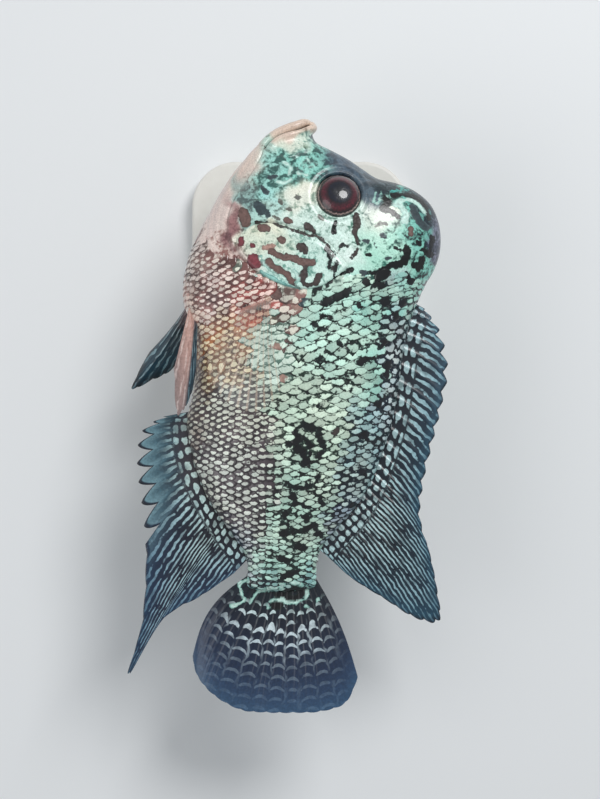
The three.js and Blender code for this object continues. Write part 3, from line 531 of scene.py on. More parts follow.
def area_field():
    """Ground colour, pearl colour and pearl share, blended from AREAS, over the lateral places."""
    # Two waves each way keep the areas' borders from being smooth
    straight_along, straight_across = FIELD_ALONG[:, None], FIELD_ACROSS[None, :]
    along = straight_along + 1.1 * np.sin(straight_across / 2.3) + 0.6 * np.sin(straight_across / 0.9 + 1)
    across = straight_across + 1.3 * np.sin(straight_along / 2.9) + 0.8 * np.sin(straight_along / 1.1 + 2)
    total, blend = 0, 0
    for (x, y), (radius_x, radius_y), ground_hex, pearl_hex, share in AREAS.values():
        place = photo(x, y)
        gap = (((along - place[0]) / radius_y) ** 2 + ((across - place[1]) / radius_x) ** 2) / PIXEL ** 2
        weight = (np.exp(-AREA_FALL * gap) + FAR_WEIGHT / (1 + gap) ** 3)[..., None]
        total = total + weight
        blend = blend + weight * np.array([*linear(ground_hex), *linear(pearl_hex), share])
    return blend / total


def mark_field():
    """Distance in mm outside the nearest mark, negative inside it, with that mark's two colours."""
    field = np.zeros((len(FIELD_ALONG), len(FIELD_ACROSS), 7))
    field[..., 0] = MARK_REACH
    strokes = [(tint, *stroke) for tints in MARKS.values() for tint, group in tints.items() for stroke in group]
    for tint, half_width, *points in strokes:
        path = smooth_path([photo(*point) for point in points], 4)
        margin = half_width * PIXEL + MARK_REACH
        rows, columns = (
            slice(*np.searchsorted(axis, (line.min() - margin, line.max() + margin)))
            for axis, line in zip((FIELD_ALONG, FIELD_ACROSS), path.T))
        grid = np.stack(np.meshgrid(FIELD_ALONG[rows], FIELD_ACROSS[columns], indexing="ij"), -1)
        distance = path_distance(grid.reshape(-1, 2), path)[0].reshape(grid.shape[:2]) - half_width * PIXEL
        window = field[rows, columns]
        nearer = distance < window[..., 0]
        window[nearer, 0] = distance[nearer]
        window[nearer, 1:] = [*linear(TINTS[tint][0]), *linear(TINTS[tint][1])]
    return field


def sample(field, places):
    """Values of a field at lateral places."""
    return between(field, *((place - axis[0]) / FIELD_STEP
                            for place, axis in zip(places.T, (FIELD_ALONG, FIELD_ACROSS))))


AREA_FIELD, MARK_FIELD = area_field(), mark_field()


# Meshes

def make_mesh(name, points, *faces):
    mesh = bpy.data.meshes.new(name)
    faces = [face for group in faces for face in np.asarray(group).tolist()]
    mesh.from_pydata(np.asarray(points) * MM, [], faces)
    mesh.shade_smooth()
    piece = bpy.data.objects.new(name, mesh)
    bpy.context.scene.collection.objects.link(piece)
    return piece


def face_out(piece, index, direction):
    """Turns all faces over if the one with this index looks away from a direction."""
    if piece.data.polygons[index].normal.dot(Vector(direction)) < 0:
        piece.data.flip_normals()


def set_attribute(piece, name, values):
    """Stores numbers, vectors or colours on the points of a piece."""
    values = np.asarray(values, np.float32)
    kinds = {1: ("FLOAT", "value"), 3: ("FLOAT_VECTOR", "vector"), 4: ("FLOAT_COLOR", "color")}
    width = 1 if values.ndim == 1 else values.shape[1]
    kind, field = kinds[width]
    attribute = piece.data.attributes.new(name, kind, "POINT")
    attribute.data.foreach_set(field, values.ravel())


def opaque(colours):
    return np.concatenate([colours, np.ones((len(colours), 1))], 1)


def paint_areas(piece, places, shade=1.0):
    values = sample(AREA_FIELD, places)
    # shade darkens the ground and pearl colours alike; the skin passes in it the painted shade of its grooves
    values[:, :6] *= np.reshape(shade, (-1, 1))
    set_attribute(piece, "ground", opaque(values[:, 0:3]))
    set_attribute(piece, "pearl", opaque(values[:, 3:6]))
    set_attribute(piece, "fill", values[:, 6])


def paint_marks(piece, places):
    values = sample(MARK_FIELD, places)
    set_attribute(piece, "mark", values[:, 0])
    set_attribute(piece, "mark_edge", opaque(values[:, 1:4]))
    set_attribute(piece, "mark_core", opaque(values[:, 4:7]))


def grid_faces(rows, columns, closed=False):
    i, j = np.meshgrid(np.arange(rows - 1), np.arange(columns if closed else columns - 1), indexing="ij")
    following = (j + 1) % columns
    quads = [i * columns + j, i * columns + following, (i + 1) * columns + following, (i + 1) * columns + j]
    return np.stack(quads, -1).reshape(-1, 4)


def plate_faces(rows, columns):
    """Faces of a closed plate: a grid of points, its copy underneath, and the rim between them."""
    sheet = grid_faces(rows, columns)
    index = np.arange(rows * columns).reshape(rows, columns)
    border = np.concatenate([index[0, :], index[1:, -1], index[-1, -2::-1], index[-2:0:-1, 0]])
    following = np.roll(border, -1)
    rim = np.stack([following, border, border + index.size, following + index.size], 1)
    return np.concatenate([sheet, sheet[:, ::-1] + index.size, rim])


def finish_piece(piece, material, slot, *nodes):
    piece.data.materials.append(material)
    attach(piece, "root")
    if nodes:
        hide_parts(*nodes)


# Node materials

def add_node(tree, kind, inputs=(), **settings):
    """Adds one node with its settings and inputs (values, hex colours or links), and gives its outputs."""
    node = tree.nodes.new("ShaderNode" + kind)
    for key, value in settings.items():
        setattr(node, key, value)
    for key, value in inputs.items() if isinstance(inputs, dict) else enumerate(inputs):
        if isinstance(value, bpy.types.NodeSocket):
            tree.links.new(value, node.inputs[key])
        else:
            node.inputs[key].default_value = (*linear(value), 1) if isinstance(value, str) else value
    return node.outputs


def new_material(name, **shader):
    """A material, a function that adds nodes to it, and a function that links an output to its shader."""
    material = bpy.data.materials.new(name)
    material.use_nodes = True
    tree = material.node_tree
    principled = tree.nodes["Principled BSDF"]
    for key, value in shader.items():
        principled.inputs[key.replace("_", " ").title()].default_value = value

    def shade(socket, output):
        tree.links.new(output, principled.inputs[socket])

    return material, functools.partial(add_node, tree), shade


def uneven(add, position, scale, detail, *span):
    """A noise of so many waves to the metre, brought from one span of values to another."""
    noise = add("TexNoise", {"Vector": position, "Scale": scale, "Detail": detail})["Fac"]
    return add("MapRange", (noise, *span))[0]


def lens(add, *axes):
    """Distance from a rounded lens's middle, 1 at its rim, by place, middle, half width and power per axis."""
    total = 0.0
    for place, middle, half_width, power in axes:
        for operation, other in (("SUBTRACT", middle), ("ABSOLUTE", 0.0), ("DIVIDE", half_width),
                                 ("POWER", power), ("ADD", total)):
            place = add("Math", (place, other), operation=operation)[0]
        total = place
    return total


def marked_colour(add, colour, value, position):
    """Varies a colour's value and lays the drawn marks over it, with wavering edges."""
    colour = add("HueSaturation", {"Color": colour, "Value": value})[0]
    slow = uneven(add, position, 300.0, 1.0, 0.3, 0.7, -0.5, 0.5)
    quick = uneven(add, position, 1000.0, 2.0, 0.3, 0.7, -0.26, 0.26)
    waver = add("Math", (slow, quick), operation="ADD")[0]
    distance, edge, core = (add("Attribute", attribute_name=name)[output] for name, output in MARK_INPUTS)
    distance = add("Math", (distance, waver), operation="ADD")[0]
    depth = add("MapRange", (distance, -0.08, -0.45, 0.0, 1.0))[0]
    tint = add("Mix", {0: depth, 6: edge, 7: core}, data_type="RGBA")[2]
    shift = add("MapRange", (quick, -0.26, 0.26, 0.72, 1.25))[0]
    tint = add("HueSaturation", {"Color": tint, "Value": shift})[0]
    cover = add("MapRange", (distance, 0.14, -0.1, 0.0, 1.0))[0]
    return add("Mix", {0: cover, 6: colour, 7: tint}, data_type="RGBA")[2]


AREA_INPUTS = ("fill", "Fac"), ("ground", "Color"), ("pearl", "Color")
MARK_INPUTS = ("mark", "Fac"), ("mark_edge", "Color"), ("mark_core", "Color")


def skin_material():
    """Moist unscaled fish skin: soft gloss over a pattern of pearl worms and flecks on its ground."""
    material, add, shade = new_material(
        "moist_head_skin", roughness=0.36, coat_weight=0.38, coat_roughness=0.17)
    position = add("NewGeometry")["Position"]
    fill, ground, pearl = (add("Attribute", attribute_name=name)[output] for name, output in AREA_INPUTS)
    # Worms about 3 mm from one to the next, and flecks under 1 mm
    worms = add("TexNoise", {"Vector": position, "Scale": 330.0, "Detail": 1.5, "Distortion": 0.9})["Fac"]
    flecks = add("TexNoise", {"Vector": position, "Scale": 1150.0, "Detail": 2.0})["Fac"]
    worms = add("Math", (worms, 0.78), operation="MULTIPLY")[0]
    level = add("Math", (flecks, 0.4, worms), operation="MULTIPLY_ADD")[0]
    level = add("Math", (level, fill), operation="ADD")[0]
    share = add("MapRange", (level, 1.0, 1.16, 0.0, 1.0))[0]
    base = add("Mix", {0: share, 6: ground, 7: pearl}, data_type="RGBA")[2]
    cloud = uneven(add, position, 210.0, 3.0, 0.35, 0.7, 0.0, 0.35)
    base = add("Mix", {0: cloud, 6: base, 7: "#f2f3e6"}, data_type="RGBA", blend_type="SOFT_LIGHT")[2]
    grain = uneven(add, position, 2100.0, 3.0, 0.3, 0.7, 0.8, 1.14)
    shade("Base Color", marked_colour(add, base, grain, position))
    pores = add("TexVoronoi", {"Vector": position, "Scale": 1000.0}, feature="SMOOTH_F1")["Distance"]
    height = add("Math", (flecks, 0.8, pores), operation="MULTIPLY_ADD")[0]
    shade("Normal", add("Bump", {"Strength": 0.35, "Distance": 0.0003, "Height": height})[0])
    return material


def scale_material():
    """Wet scales: a pearl patch with a dark free edge, under a thin clear film."""
    material, add, shade = new_material(
        "moist_pearl_scales", roughness=0.28, coat_weight=0.7, coat_roughness=0.09)
    position = add("NewGeometry")["Position"]
    fill, ground, pearl = (add("Attribute", attribute_name=name)[output] for name, output in AREA_INPUTS)
    change = uneven(add, position, 120.0, 2.0, 0.34, 0.6, -0.2, 0.06)
    fill = add("Math", (fill, change), operation="ADD")[0]
    own = add("Attribute", attribute_name="own_place")["Vector"]
    own_across, own_back, chance = add("SeparateXYZ", (own,))
    # The patch is a rounded lens in the scale's own measures, wider across the body than along it
    breadth, depth, roughness = (
        add("MapRange", (fill, *span))[0]
        for span in ((0.35, 0.95, 0.52, 0.98), (0.35, 0.95, 0.11, 0.215), (0.5, 0.85, 1.5, 0.9)))
    middle = add("MapRange", (chance, 0.0, 1.0, 0.72, 0.79))[0]
    radius = lens(add, (own_across, 0.0, breadth, 2.4), (own_back, middle, depth, 2.4))
    # Ragged rims, the more so on the small patches of chest and belly
    ragged = uneven(add, position, 620.0, 3.0, 0.28, 0.72, -1.0, 1.0)
    radius = add("Math", (ragged, roughness, radius), operation="MULTIPLY_ADD")[0]
    patch = add("MapRange", (radius, 1.3, 0.8, 0.0, 1.0))[0]
    # The front of a scale that no other covers is mottled as the skin is
    mottle = add("TexNoise", {"Vector": position, "Scale": 480.0, "Detail": 2.0})["Fac"]
    mottle = add("Math", (mottle, fill), operation="ADD")[0]
    mottle = add("MapRange", (mottle, 0.95, 1.15, 0.0, 1.0))[0]
    front = add("MapRange", (own_back, 0.58, 0.5, 0.0, 1.0))[0]
    for operation, other in (("MULTIPLY", mottle), ("MAXIMUM", patch)):
        front = add("Math", (front, other), operation=operation)[0]
    dark = uneven(add, position, 140.0, 2.0, 0.4, 0.6, 0.5, 1.25)
    ground = add("HueSaturation", {"Color": ground, "Value": dark})[0]
    cloud = uneven(add, position, 95.0, 2.0, 0.35, 0.65, 0.0, 0.35)
    pearl = add("Mix", {0: cloud, 6: pearl, 7: "#f1f2dd"}, data_type="RGBA")[2]
    base = add("Mix", {0: front, 6: ground, 7: pearl}, data_type="RGBA")[2]
    fleck = uneven(add, position, 1900.0, 3.0, 0.3, 0.7, 0.84, 1.1)
    value = add("MapRange", (chance, 0.0, 1.0, 0.7, 1.18))[0]
    value = add("Math", (fleck, value), operation="MULTIPLY")[0]
    shade("Base Color", marked_colour(add, base, value, position))
    return material


# The scaly coat

SCALE_PITCH = 3.3  # mm along the flank from one scale to the next, at mid-body
SCALE_ROW = 3.6  # mm between neighbouring rows there
TAIL_SHRINK = 0.64  # size of the scales at the tail root beside those at mid-body
BELLY_LESS, NAPE_LESS = 0.34, 0.22  # shares by which the scales of belly and nape are smaller
SCALE_COLUMNS, SCALE_RINGS = 7, 7
SCALE_THICKNESS = 0.16
SCALE_TILT = 0.58  # mm that the free edge stands above the root
REGULAR_ALONG = 100.0  # mm behind the snout


def scale_sizes():
    """Size of a scale at each point of the chart, as a share of the size at mid-body."""
    along, across = np.moveaxis(lateral(CHART), -1, 0)
    tail = 1 - (1 - TAIL_SHRINK) * smoothstep(78, 155, along)
    belly = smoothstep(-3, -14, across) * smoothstep(128, 96, along)
    nape = smoothstep(66, 52, along) * smoothstep(4, 16, across)
    return tail * (1 - BELLY_LESS * belly) * (1 - NAPE_LESS * nape)


def scale_lattice(rows, pitch, row_gap):
    """Ring, step and size of the scale centres of some rows, counted from the middle of the flank.

    Neighbouring scales lie half a scale apart at REGULAR_ALONG, and drift from it where the sizes change."""
    sizes = scale_sizes()
    steps = np.arange(FLANK_STEPS + 1)
    rate = HALF_GIRTH[:, None] / FLANK_STEPS / (row_gap * sizes)
    between_steps = (rate[:, 1:] + rate[:, :-1]) / 2
    count = np.concatenate([np.zeros((len(rate), 1)), np.cumsum(between_steps, axis=1)], axis=1)
    count -= count[:, [FLANK_STEPS // 2]]
    regular = np.argmin(np.abs(SNOUT_Y - CHART[:, FLANK_STEPS // 2, 1] - REGULAR_ALONG))
    centres = []
    for row in rows:
        found = np.array([np.interp(row, count[i], steps, left=-1, right=-1) for i in CHART_ROWS])
        rings = CHART_ROWS[found > 0]
        if len(rings) < 3:
            continue
        path = on_chart(rings.astype(float), found[rings], LEFT)
        local = sizes[rings, np.round(found[rings]).astype(int)]
        gaps = np.linalg.norm(np.diff(path, axis=0), axis=1) / (pitch * (local[1:] + local[:-1]) / 2)
        phase = np.concatenate([[0], np.cumsum(gaps)])
        phase -= np.interp(regular, rings, phase)
        columns = np.arange(math.ceil(phase[0]), math.floor(phase[-1])) + (0.5 if row % 2 else 0.0)
        ring = np.interp(columns, phase, rings)
        centres.append(np.stack([ring, np.interp(ring, rings, found[rings]), np.interp(ring, rings, local)], 1))
    centres = np.concatenate(centres)
    return centres[behind_head(lateral(on_chart(centres[:, 0], centres[:, 1], LEFT)))]


def scale_template():
    """Own places of one scale's points: across from -1 to 1, and from its root (0) to its free edge (1)."""
    v = np.linspace(0, 1, SCALE_RINGS) ** 0.8
    grid_v, grid_u = np.meshgrid(v, np.linspace(-1, 1, SCALE_COLUMNS), indexing="ij")
    rounding = np.sqrt(np.maximum(0.0, 1 - np.maximum(0, (grid_v - 0.5) / 0.5) ** 2))
    front = 0.72 + 0.28 * np.clip(grid_v / 0.35, 0, 1)
    return [part.ravel() for part in (grid_u * front * np.maximum(rounding, 0.04), grid_v, grid_u)]


# Measures of one scale, in rows, pitches and mm
HALF_BREADTH, LENGTH = 0.93, 2.0
AHEAD = 0.62  # share of its length that lies ahead of its place in the lattice
HINGE = 0.42  # share of its length at which it comes out of the coat
DOME, RIM_DROP = 0.16, 0.1
PLACE_JITTER, SPIN_JITTER, SIZE_JITTER, LIFT_JITTER, COLOUR_JITTER = 0.035, 0.05, 0.03, 0.025, 1.5
MARK_FOLLOW = 0.45  # share in which a mark's outline runs across a scale, not scale by scale


def scale_coat(name, rows, side, seed, pitch, row_gap):
    """One piece of overlapping scales on a flank, each a thin closed plate that follows the body."""
    rng = np.random.default_rng(seed)
    centres = scale_lattice(rows, pitch, row_gap)
    count = len(centres)
    own_u, own_v, flat_u = scale_template()
    per_scale = 2 * len(own_u)
    jitter = rng.normal(0, PLACE_JITTER, (count, 2))
    spin = rng.normal(0, SPIN_JITTER, (count, 1))
    local = centres[:, 2:] * (1 + rng.normal(0, SIZE_JITTER, (count, 1)))
    ahead, behind = (on_chart(centres[:, 0] + shift, centres[:, 1], LEFT) for shift in (-0.5, 0.5))
    mm_per_ring = np.linalg.norm(behind - ahead, axis=1)[:, None]
    mm_per_step = np.interp(centres[:, :1], CHART_ROWS, HALF_GIRTH) / FLANK_STEPS
    u = own_u * (HALF_BREADTH * row_gap * local)
    v = (own_v - AHEAD) * (LENGTH * pitch * local)
    across = u * np.cos(spin) + v * np.sin(spin) + jitter[:, :1] * row_gap
    back = v * np.cos(spin) - u * np.sin(spin) + jitter[:, 1:] * pitch
    ring, step = centres[:, :1] + back / mm_per_ring, centres[:, 1:2] + across / mm_per_step
    rise = (own_v - HINGE) * SCALE_TILT * np.sqrt(local)
    dome = DOME * (1 - flat_u ** 2) * local
    rim = -RIM_DROP * smoothstep(0.86, 1.0, own_v)
    lift = rise + dome + rim + rng.normal(0, LIFT_JITTER, (count, 1))
    points = np.concatenate([on_chart(ring, step, side, lift - sink) for sink in (0, SCALE_THICKNESS)], axis=1)
    points = points.reshape(-1, 3)
    one = plate_faces(SCALE_RINGS, SCALE_COLUMNS)
    if side == LEFT:
        one = one[:, ::-1]
    faces = (one[None] + (np.arange(count) * per_scale)[:, None, None]).reshape(-1, 4)
    piece = make_mesh(name, points, faces)
    roots = lateral(on_chart(centres[:, 0], centres[:, 1], side))
    # Each scale takes its colours from a place a little off its own, so that the areas meet unevenly
    paint_areas(piece, np.repeat(roots + rng.normal(0, COLOUR_JITTER, roots.shape), per_scale, axis=0))
    paint_marks(piece, MARK_FOLLOW * lateral(points) + (1 - MARK_FOLLOW) * np.repeat(roots, per_scale, axis=0))
    own = (np.tile(flat_u, 2 * count), np.tile(own_v, 2 * count), np.repeat(rng.random(count), per_scale))
    set_attribute(piece, "own_place", np.stack(own, 1))
    bake_map(piece, centres, side, own_u, own_v)
    return piece


# Width of one scale's patch and of the rim of each half, as shares of the bake map
PATCH, MAP_RIM = 0.003, 0.02


def bake_map(piece, centres, side, own_u, own_v):
    """Lays each scale as a small patch at its root's place on an unwrap of the skin."""
    u = MAP_RIM + (1 - 2 * MAP_RIM) * centres[:, 0] / len(CHART_T)
    v = MAP_RIM + (0.5 - 2 * MAP_RIM) * centres[:, 1] / FLANK_STEPS + (0.5 if side == RIGHT else 0.0)
    local = np.stack([np.tile(own_v, 2) - 0.5, np.tile(own_u, 2) * 0.5], 1) * PATCH
    flat = (np.stack([u, v], 1)[:, None, :] + local[None]).reshape(-1, 2)
    layer = piece.data.uv_layers.new(name="OFBake")
    corners = np.empty(len(piece.data.loops), np.int32)
    piece.data.loops.foreach_get("vertex_index", corners)
    layer.data.foreach_set("uv", flat[corners].astype(np.float32).ravel())


# Fins

def edge_across(along, ring_step):
    """Height of the back or belly edge of the skin at a distance behind the snout tip."""
    edge = lateral(CHART[:, ring_step])
    return np.interp(along, *edge[np.argsort(edge[:, 0])].T)


FIN_SINK = 3.5


def back_root(along):
    return (along, float(edge_across(along, FLANK_STEPS)) - FIN_SINK)


def belly_root(along):
    return (along, float(edge_across(along, 0)) + FIN_SINK)


def fin_material():
    """Moist fin membrane: dark between the rays, with pale spots that run into streaks."""
    material, add, shade = new_material("moist_dark_fin", roughness=0.36, coat_weight=0.3, coat_roughness=0.12)
    position = add("NewGeometry")["Position"]
    (lane, run, line), (width, duty, strength) = (
        add("SeparateXYZ", (add("Attribute", attribute_name=name)["Vector"],))
        for name in ("own_place", "streak"))
    off_lane = lane
    drift = uneven(add, position, 300.0, 1.0, 0.3, 0.7, -0.16, 0.16)
    for operation, other in (("FRACT", 0.0), ("ADD", drift), ("SUBTRACT", 0.5), ("ABSOLUTE", 0.0)):
        off_lane = add("Math", (off_lane, other), operation=operation)[0]
    # Each lane starts its beat of spots at its own place, the less so the stronger its lines are
    cell = add("Math", (lane,), operation="FLOOR")[0]
    shift = add("TexWhiteNoise", {"W": cell}, noise_dimensions="1D")["Value"]
    free = add("Math", (1.0, line), operation="SUBTRACT")[0]
    beat = add("Math", (shift, free, run), operation="MULTIPLY_ADD")[0]
    beat = add("Math", (beat,), operation="FRACT")[0]
    radius = lens(add, (off_lane, 0.0, width, 2.6), (beat, 0.5, duty, 3.0))
    ragged = uneven(add, position, 700.0, 2.0, 0.3, 0.7, -0.6, 0.6)
    radius = add("Math", (radius, ragged), operation="ADD")[0]
    spot = add("MapRange", (radius, 1.25, 0.75, 0.0, 1.0))[0]
    # Spots and the thin pale lines where two membranes meet come and go
    patchy = add("TexNoise", {"Vector": position, "Scale": 210.0, "Detail": 1.0})["Fac"]
    broken = add("MapRange", (patchy, 0.45, 0.6, 0.0, 1.0))[0]
    faint = add("MapRange", (patchy, 0.36, 0.5, 0.5, 1.0))[0]
    spot = add("Math", (spot, faint), operation="MULTIPLY")[0]
    pale = add("MapRange", (off_lane, 0.38, 0.47, 0.0, 1.0))[0]
    for operation, other in (("MULTIPLY", broken), ("MULTIPLY", line), ("MAXIMUM", spot),
                             ("MULTIPLY", strength)):
        pale = add("Math", (pale, other), operation=operation)[0]
    ground, pearl = (add("Attribute", attribute_name=name)[output] for name, output in AREA_INPUTS[1:])
    base = add("Mix", {0: pale, 6: ground, 7: pearl}, data_type="RGBA")[2]
    grain = uneven(add, position, 1300.0, 3.0, 0.3, 0.7, 0.78, 1.18)
    shade("Base Color", marked_colour(add, base, grain, position))
    return material


def fin_colours(reach, stops):
    """Ground and pearl colours along a fin from stops (reach, ground, pearl)."""
    table = np.array([(*linear(ground), *linear(pearl)) for _, ground, pearl in stops])
    reaches = [stop[0] for stop in stops]
    return np.stack([np.interp(reach, reaches, column) for column in table.T], -1)


FORKS = 0.13, 0.31  # how far the branches of a soft ray end from its middle, in cells
SPINE_BREADTH, RAY_BREADTH = 0.15, 0.12  # of the ridges, in cells, at the root
TAPER = 0.72  # share of a ray's thickness that is gone at its tip
EDGE_ROWS, EDGE_COLUMNS = 3.0, 2.0  # over which a fin thins out at its edge and its sides


def fin_sheet(name, guides, rays, rows, columns_per_ray, lift, stops, streaks, spine_share=0.0,
              lobe=0.03, front_lobe=0.0, tip_place=0.35, tip_shape=1.8, fray=0.025, ray_half=0.5,
              membrane_half=0.14, lanes=(1, 1)):
    """A fin between guide rays, with a rounded ridge on both faces for each ray, branched where soft.

    The membrane behind each spine ends in a lobe, and soft rays reach the edge in fine points. The lobe is
    deepest at the front, by front_lobe, and its tip lies at tip_place between one spine and the next."""
    columns = rays * columns_per_ray + 1
    share = np.linspace(0, 1, columns)
    t = share * (len(guides) - 1)
    roots, tips = (spline([guide[i] for guide in guides], t) for i in (0, 1))
    bows = spline([guide[2] if len(guide) > 2 else 0.0 for guide in guides], t)
    phase = share * rays
    in_cell = phase % 1  # rays run in the middle of each cell
    soft = share >= spine_share
    off_tip = (in_cell - 0.5) % 1 - tip_place
    off_tip = np.where(off_tip > 0, off_tip / (1 - tip_place), -off_tip / tip_place)
    lobes = (lobe + front_lobe * smoothstep(0.22, 0.04, share)) * off_tip ** tip_shape
    bite = np.where(soft, fray * (np.abs(in_cell - 0.5) * 2) ** 2, lobes)
    rim_reach = np.linspace(0, 1, rows)
    reach = (1 - bite) * rim_reach[:, None]
    run = tips - roots
    length = np.linalg.norm(run, axis=1)
    bow = bows * np.sin(np.pi * reach)
    along = roots[:, 0] + run[:, 0] * reach - run[:, 1] / length * bow
    across = roots[:, 1] + run[:, 1] * reach + run[:, 0] / length * bow
    # Soft rays fork twice on their way out
    split = (smoothstep(0.3, 0.5, reach) + smoothstep(0.6, 0.85, reach)) / 2
    from_ray = np.abs(in_cell - 0.5)
    forks = np.minimum(*(np.abs(from_ray - fork * split) for fork in FORKS))
    nearest = np.where(soft, forks, from_ray)
    breadth = np.where(soft, RAY_BREADTH - 0.05 * split, SPINE_BREADTH - 0.06 * reach)
    ridges = np.exp(-(nearest / breadth) ** 2)
    half = membrane_half + np.maximum(ray_half * (1 - TAPER * reach) - membrane_half, 0.03) * ridges
    from_side = np.minimum(np.arange(columns), np.arange(columns)[::-1])
    from_edge = np.arange(rows)[::-1, None]
    half *= np.minimum(1, from_edge / EDGE_ROWS) ** 0.5 * np.minimum(1, from_side / EDGE_COLUMNS) ** 0.5
    height = lift(share, reach, along, across)
    points = np.concatenate([np.stack([across, SNOUT_Y - along, height + face * half], -1).reshape(-1, 3)
                             for face in (1, -1)])
    piece = make_mesh(name, points, plate_faces(rows, columns))
    face_out(piece, (rows - 1) * (columns - 1) // 2, (0, 0, 1))
    millimetres = reach * length
    lane = phase * np.where(millimetres > LANE_SPLIT, lanes[1], lanes[0])
    values = np.broadcast_arrays(reach, lane, *streaks(share, reach, millimetres, lane % 1 - 0.5))[1:]
    lane, beat, line, width, duty, strength = (value.ravel() for value in values)
    reaches = np.repeat(rim_reach, columns)
    colours = fin_colours(reaches, stops[0])
    if len(stops) > 1:
        turn = np.tile(smoothstep(spine_share - 0.08, spine_share + 0.08, share), rows)[:, None]
        colours += (fin_colours(reaches, stops[1]) - colours) * turn
    for attribute, value in (
            ("own_place", np.stack([lane, beat, line], 1)), ("streak", np.stack([width, duty, strength], 1)),
            ("ground", opaque(colours[:, :3])), ("pearl", opaque(colours[:, 3:]))):
        set_attribute(piece, attribute, np.tile(value, (2, 1)))
    paint_marks(piece, lateral(points))
    return piece


LANE_SPLIT = 9.0  # mm from the root at which one lane of spots becomes two of streaks


def dorsal_streaks(share, reach, mm, cell):
    """Beat, line strength, width, duty and strength: rows of round spots near the body, then thin streaks."""
    outer = mm > LANE_SPLIT
    run = np.where(outer, mm / 15, mm / 2.9)
    width = np.where(outer, 0.24 - 0.04 * smoothstep(9, 18, mm), 0.33)
    strength = (1 - 0.5 * smoothstep(0.85, 1.0, reach)) * smoothstep(0.1, 0.5, np.abs(mm - LANE_SPLIT))
    return run, 0.0, width, np.where(outer, 0.46, 0.34), strength


def anal_streaks(share, reach, mm, cell):
    """As in the dorsal fin, but the front lobes are plain."""
    *others, strength = dorsal_streaks(share, reach, mm, cell)
    front = 1 - smoothstep(0.34, 0.5, share)
    return *others, strength * (1 - 0.85 * front * smoothstep(0.4, 0.6, reach))


def tail_streaks(share, reach, mm, cell):
    """Rows of small pale arcs, 3.8 mm apart, that fade towards the edge, with thin lines between them."""
    middle = smoothstep(0.0, 0.24, share) * smoothstep(1.0, 0.72, share)
    strength = (0.1 + 0.9 * middle) * (1 - 0.75 * smoothstep(0.45, 0.68, reach)) * smoothstep(6, 9, mm)
    return (mm - 1.3 * (2 * cell) ** 2) / 3.8, 0.7 * smoothstep(12, 18, mm), 0.4, 0.15, strength


def plain_streaks(share, reach, mm, cell):
    return mm / 9, 0.0, 0.14, 0.42, 0.7


MEDIAN_STOPS = [(0.0, "#08131f", "#b9d3d2"), (0.4, "#081622", "#a6c6ca"), (0.8, "#10293a", "#86abb6"),
                (0.95, "#1c4256", "#6f97a6"), (1.0, "#081420", "#33506a")]
SPINY_ANAL_STOPS = [(0.0, "#3a2f30", "#c9d8d0"), (0.3, "#33323a", "#b4ccc8"), (0.5, "#2b3a46", "#9cbcc0"),
                    (0.7, "#3f5f6c", "#8fb0b8"), (0.93, "#6a8d98", "#8fb0b8"), (0.955, "#08182a", "#2a4a60"),
                    (1.0, "#050e1c", "#2a4a60")]
SOFT_ANAL_STOPS = [(0.0, "#14141a", "#c4dcd6"), (0.4, "#0c1528", "#9fbfc6"), (0.8, "#10243e", "#7497aa"),
                   (0.97, "#12304c", "#5f8398"), (1.0, "#081a30", "#4f768c")]
CAUDAL_STOPS = [(0.0, "#0a181e", "#bfe0d8"), (0.35, "#0d182a", "#cfdfe4"), (0.7, "#1a2c48", "#a6bac8"),
                (0.88, "#263f5e", "#7d98b0"), (1.0, "#30506f", "#6d8ca8")]
PELVIC_STOPS = [(0.0, "#b08a80", "#e6cfc4"), (0.18, "#6f5f62", "#d8c8c4"), (0.35, "#16303c", "#a9c2c8"),
                (0.8, "#123848", "#86aab4"), (1.0, "#08161f", "#3c5c68")]
TRAILING_STOPS = [(0.0, "#c49a8c", "#ecd6c8"), (0.5, "#b28f86", "#dfc8c0"), (1.0, "#8c7a78", "#c0b0ac")]


def midplane_wave(length, phase):
    return lambda share, reach, along, across: MIDPLANE_Z + 1.1 * reach * np.sin(along / length + phase)


# Scene parts

CREVICE_PAINTED_SHADE, CREVICE_DEPTHS = 0.75, (-0.35, -1.3)  # share of the colour darkened as painted shade in the head's grooves, and the depth in mm where it starts and ends
MARK_SWAY = 0.25  # share of the areas' sway that the drawn marks take


def make_skin():
    flanks, normals = (np.concatenate([table, table[:, -2:0:-1] * MIRROR], axis=1)
                       for table in (CHART, CHART_NORMALS))
    rings, columns = flanks.shape[:2]
    points = flanks.reshape(-1, 3)
    places = lateral(points)
    relief = head_relief(places)
    points = points + normals.reshape(-1, 3) * relief[:, None] + (0, 0, MIDPLANE_Z)
    ends = np.stack([points[:columns].mean(0), points[-columns:].mean(0)])
    first, last = len(points), len(points) + 1
    base = (rings - 1) * columns
    caps = [(first, (i + 1) % columns, i) for i in range(columns)]
    caps += [(last, base + i, base + (i + 1) % columns) for i in range(columns)]
    quads = grid_faces(rings, columns, closed=True)
    piece = make_mesh("skin", np.concatenate([points, ends]), quads, caps)
    face_out(piece, len(quads) // 2 + columns // 4, (0, 0, 1))
    places = np.concatenate([places, lateral(ends)])
    # Colours sway with depth, so that they don't run straight down the steep sides
    depth = np.append(points[:, 2], ends[:, 2])
    sway = np.stack([1.1 * np.sin(depth / 1.7) + 0.6 * np.sin(depth / 0.7), 1.0 * np.sin(depth / 2.3 + 1)], 1)
    # Painted shade: ground and pearl colours are darkened where the head's relief sinks into grooves (mouth
    # slit, nostrils, eye socket, gill cover and throat folds)
    painted_crevice_shade = 1 - CREVICE_PAINTED_SHADE * smoothstep(*CREVICE_DEPTHS, np.append(relief, [0, 0]))
    paint_areas(piece, places + sway, painted_crevice_shade)
    paint_marks(piece, places + MARK_SWAY * sway)
    return piece


